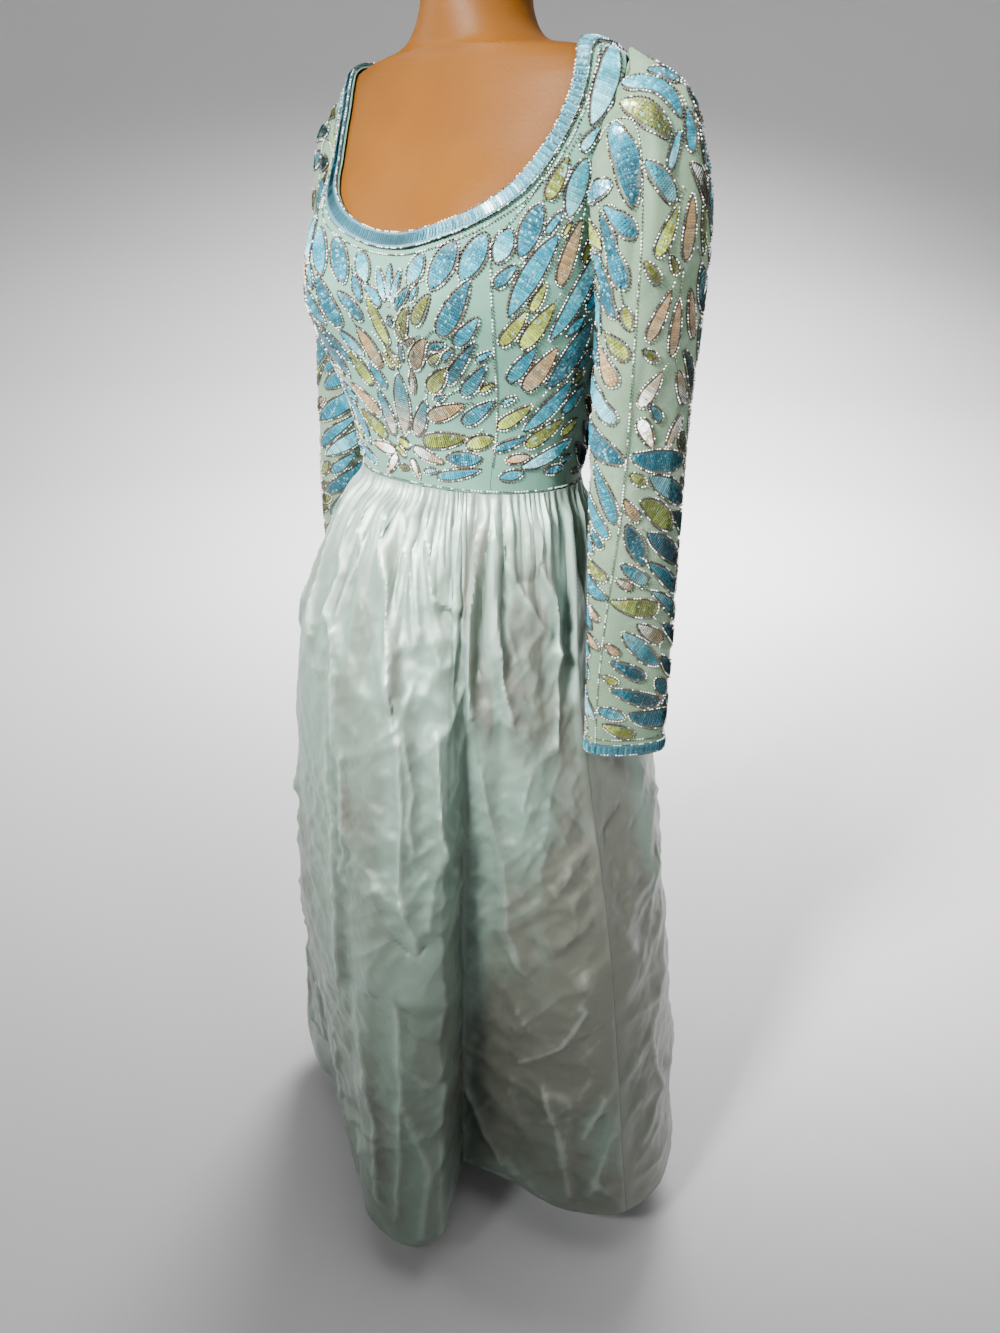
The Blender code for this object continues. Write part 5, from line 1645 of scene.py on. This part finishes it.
# stones: across from the centre front, up from the waist, size
stones = (
    (0.0, 0.047, 0.006), (0.008, 0.041, 0.0045), (-0.008, 0.041, 0.0045), (0.0, 0.036, 0.0045),
    (0.006, 0.054, 0.004), (-0.006, 0.054, 0.004), (0.0, 0.176, 0.0045), (0.007, 0.180, 0.004),
    (-0.007, 0.180, 0.004), (0.0, 0.118, 0.004), (0.0, 0.029, 0.004), (0.034, 0.100, 0.004),
    (-0.034, 0.100, 0.004),
)


def makeStones():
    x, up, size = (np.array(column) for column in zip(*stones))
    turn = np.array([alongRing(abs(a), waistHeight + b) for a, b in zip(x, up)])
    turn = np.where(x < 0, -math.pi - turn, turn)
    centre, normal = surface(bodice, turn, waistHeight + up)
    along = unit(np.cross(normal, (0.3, 0.0, 1.0)))
    colour = np.array([tints[name] for name in ("dark", "pearl", "bronze")])[np.arange(len(x)) % 3]
    size = (size[:, None], 0.42 * size[:, None])
    centre = centre + normal * (clothTop + 0.001)
    beadPiece("bodice_stones", centre, normal, along, colour, size, sharp=10)


makeStones()


# ---- the beaded bands: rows of sequins between lines of beads
def neckLoop(outside):  # right round the neck, at a distance outside its edge
    w = 1 - np.linspace(1, 0, 200) ** 1.9
    turn, height = joined([neckline(w, -1, outside), neckline(w[::-1][1:], 1, outside)])
    other = slice(-2, 0, -1)  # the other side runs back, without the two centre points
    turn = np.concatenate([turn, math.pi - turn[other]])
    return surface(bodice, turn, np.concatenate([height, height[other]]))


def bandSequins(points, normals, lift, seed):  # scales that cross the whole band
    centre, normal, along = evenly(points, normals, bands["sequinPitch"], closed=True)
    number = np.arange(len(centre))
    shake = scatter(number, 1.0, seed)
    colour = mixColour(tints["deepBlue"], tints["aqua"], 0.15 + 0.6 * shake)
    # painted light and shade between the overlapping scales: every second scale lighter, and groups
    # of three a little lighter or darker at random
    bright = 0.40 + 0.5 * scatter(number // 3, 2.0, seed + 1) + 0.55 * (number % 2)
    colour = colour * bright[:, None]
    # painted glints: a few scales turned ice
    colour = np.where((shake > bands["glints"])[:, None], tints["ice"], colour)
    tilt = np.radians(bands["tilt"] + bands["tiltSpread"] * shake)
    return centre + normal * lift, normal, along, tilt, colour


def beadLines(paths, seed):
    bright = beadwork["silverInLines"]
    return joined([beadRun(points, normals, lift, seed + row, closed, bright)
                   for row, (points, normals, lift, closed) in enumerate(paths)])


def bandCloth(name, grid, normals, middle, flat, restsOn, *nodes):
    faces = gridFaces(*grid.shape[:2], wrap=True)
    piece = shell(name, grid + normals * middle, normals, faces, trim, trimWall)
    settle(piece, "aqua_beading", *nodes)


def makeNeckBand():
    top = clothTop + trimLift + trimWall
    rows = [neckLoop(bandWidth * step) for step in np.linspace(0.04, 1.0, 5)]
    grid, normals = (np.stack(part) for part in zip(*rows))
    bandCloth("neck_band_cloth", grid, normals, top - trimWall / 2, bands["neckCut"],
              "bodice_centre_front", "neck_band_left", "neck_band_right")
    scaled = bandSequins(*neckLoop(bandWidth * 0.5), top + bands["sequinLift"], 5)
    sequinPiece("neck_band_sequins", *scaled, bands["sequinWide"])
    lift = clothTop + beadwork["beadLift"]
    lines = [(*neckLoop(bands["edgeBeads"]), top, True), (*neckLoop(bandWidth), top, True),
             (*neckLoop(bandWidth + bands["belowBeads"]), lift, True)]
    v = np.linspace(0, 1, 300) * 0.93 + 0.06
    for side in (1, -1):
        turn, height = halfPanel(princessLine(v), v, -1)
        lines.append((*surface(bodice, wholeTurn(turn, side), height), lift, False))
    ring = np.linspace(0, 2 * math.pi, 401)[:-1]
    waist = surface(bodice, ring, 0 * ring + waistHeight + bands["waistBeads"])
    lines.append((*waist, clothTop + bands["waistLift"], True))
    beadPiece("bodice_edge_beads", *beadLines(lines, 31))


makeNeckBand()

# ---- the sleeves' leaves run down and back, with their points up and to the front
sleeveFlow = table(("share", "degrees"), (0.0, 75), (0.15, 62), (0.4, 42), (0.8, 28), (1.0, 12))


def pickOnSleeve(flowWay):
    def pick(random, tries):
        a, b = random.uniform(0, 2 * math.pi, tries), random.uniform(0.03, 0.97, tries)
        lean = np.radians(through(b, sleeveFlow["share"], sleeveFlow["degrees"]))
        return {"a": a, "b": b, "lean": lean, "outward": np.full(tries, flowWay)}
    return pick


# a spray down the outer side: degrees round the arm, share of its length, lean, length, width
# and mix
sleeveSpray = (
    (6, 0.150, 90, 0.030, 0.012, "blue"), (-12, 0.165, 62, 0.030, 0.011, "pale"),
    (24, 0.165, 118, 0.030, 0.011, "pale"), (-20, 0.235, 66, 0.042, 0.015, "lime"),
    (30, 0.235, 114, 0.042, 0.015, "lime"), (5, 0.235, 90, 0.050, 0.015, "rose"),
    (-16, 0.315, 68, 0.044, 0.014, "rose"), (26, 0.315, 112, 0.044, 0.014, "rose"),
    (5, 0.330, 90, 0.046, 0.014, "rose"), (-14, 0.405, 60, 0.034, 0.015, "sand"),
    (24, 0.405, 120, 0.034, 0.015, "sand"), (-12, 0.465, -58, 0.030, 0.014, "sand"),
    (22, 0.465, 238, 0.030, 0.014, "sand"),
)
sleeveMix = [0.22, 0.10, 0.12, 0.28, 0.10, 0.11, 0.07, 0.0]  # how often each of the mixes is taken
sleeveBeads = {
    "threadLift": 0.0006, "aboveCuff": 0.009, "aboveCuffLift": 0.0012, "end": 0.998,
    "seam": 0.9, "seamSwing": 0.12, "seamWaves": 9,  # the beads down the outer side wander
}
sleevePasses = (
    (1500, 0.060, 0.075, 0.22, 0.30), (3500, 0.044, 0.056, 0.34, 0.44),
    (5000, 0.034, 0.042, 0.38, 0.48), (4000, 0.025, 0.031, 0.40, 0.50),
    (2500, 0.016, 0.020, 0.42, 0.55),
)


def sprayOnSleeve(form, scale, flowWay):
    *sizes, names = zip(*sleeveSpray)
    turn, share, lean, length, width = np.array(sizes, float)
    turn, lean, length, still = np.radians(turn), np.radians(lean), length * scale, 0 * share
    places = march(form, turn, share, lean, still + flowWay, length, still, still)
    return leafTable(places, length, width * scale, np.array([mixNumber[name] for name in names]))


def beadSleeve(name, side):
    form, draped = sleeves[name], swollenSleeve(name)
    form["up"] = -1
    wrist = sleeveRows[name]["z"][-2:]  # its last two sections are 0.2 of its length apart
    cuffStart = 1 - cuffBandHeight / ((wrist[0] - wrist[1]) / 0.2)
    ring, along = np.linspace(0, 2 * math.pi, 300), np.linspace(0.02, cuffStart, 300)
    swing = sleeveBeads["seamSwing"] * np.sin(sleeveBeads["seamWaves"] * along)
    seam = sleeveBeads["seam"] + swing
    lines = [(ring, 0 * ring + share) for share in (0.03, cuffStart - 0.008)]
    lines += [(0 * along + math.pi, along), (seam, along)]
    fence = np.concatenate([lineFence(form, *line) for line in lines])
    placed = [sprayOnSleeve(form, scale, -side) for scale in scales]
    pick = pickOnSleeve(-side)
    leaves = packLeaves(form, fence, sleevePasses, pick, 60 + side, placed, sleeveMix)
    seed = 1700 + 300 * side
    # the lift of the dark sheet of painted shade under the sleeve's leaves, and the base of the
    # cuff band
    ground = clothTop + sleeveBeads["threadLift"]
    outlines = coverLeaves(f"sleeve_{name}", draped, leaves, fence, seed, ground)
    ring = np.linspace(0, 2 * math.pi, 241)[:-1]
    top = ground + trimWall
    grid, normals = surface(form, ring[None, :], np.linspace(cuffStart, 1, 5)[:, None])
    bandCloth(f"cuff_band_{name}_cloth", grid, normals, top - trimWall / 2,
              bands["cuffCut"], f"sleeve_{name}", f"cuff_band_{name}")
    middle = surface(form, ring, 0 * ring + (1 + cuffStart) / 2)
    scaled = bandSequins(*middle, top + bands["sequinLift"], 15 + side)
    sequinPiece(f"cuff_band_{name}_sequins", *scaled, bands["sequinWide"])
    edges = ((cuffStart - sleeveBeads["aboveCuff"], clothTop + sleeveBeads["aboveCuffLift"]),
             (cuffStart, top), (sleeveBeads["end"], top))
    lines = [(*surface(form, ring, 0 * ring + share), lift, True) for share, lift in edges]
    lines.append((*surface(draped, seam, along), clothTop + beadwork["beadLift"], False))
    beadPiece(f"sleeve_{name}_beads", *joined([outlines, beadLines(lines, 47)]))


for name, side in sides.items():
    beadSleeve(name, side)
print("beadwork made")

# ---- dress form and stand
def makeForm():
    count, listed = 96, torsoRows["height"]
    turn = 2 * math.pi * np.arange(count)[None] / count
    steps = [np.linspace(a, b, 4)[:-1] for a, b in zip(listed[:-1], listed[1:])]
    high = np.concatenate([*steps, listed[-1:]])[:, None]
    points, normals = surface({"at": torso, "out": 1}, turn, high)
    points = points - normals * (clothTop + formClearance)
    points[0, :, 2], points[-1, :, 2] = formBottom, formTop
    ends = [points[end].mean(0) for end in (0, -1)]
    shares = (0.25, 0.6, 0.97)  # rings that shrink towards the middle of each end
    low = [ends[0] + (points[0] - ends[0]) * share for share in shares]
    top = [ends[1] + (points[-1] - ends[1]) * share for share in shares[::-1]]
    grid = np.stack([*low, *points, *top])
    flat = grid.reshape(-1, 3)
    size = len(flat)
    middles = np.stack([grid[0].mean(0), grid[-1].mean(0)])
    lowFan, topFan = fan(0, size, count), fan(size - count, size + 1, count)[:, [0, 3, 2, 1]]
    faces = np.concatenate([gridFaces(*grid.shape[:2], wrap=True), lowFan, topFan])
    piece = newObject("form_torso_skin", np.concatenate([flat, middles]), faces, tan)
    settle(piece, "form_tan", "form_torso")


makeForm()
for node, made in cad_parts.items():
    if node.startswith(("form_pole", "form_collar", "form_hub", "form_leg")):
        made.data.materials.clear()
        made.data.materials.append(standMetal)
print("form made")
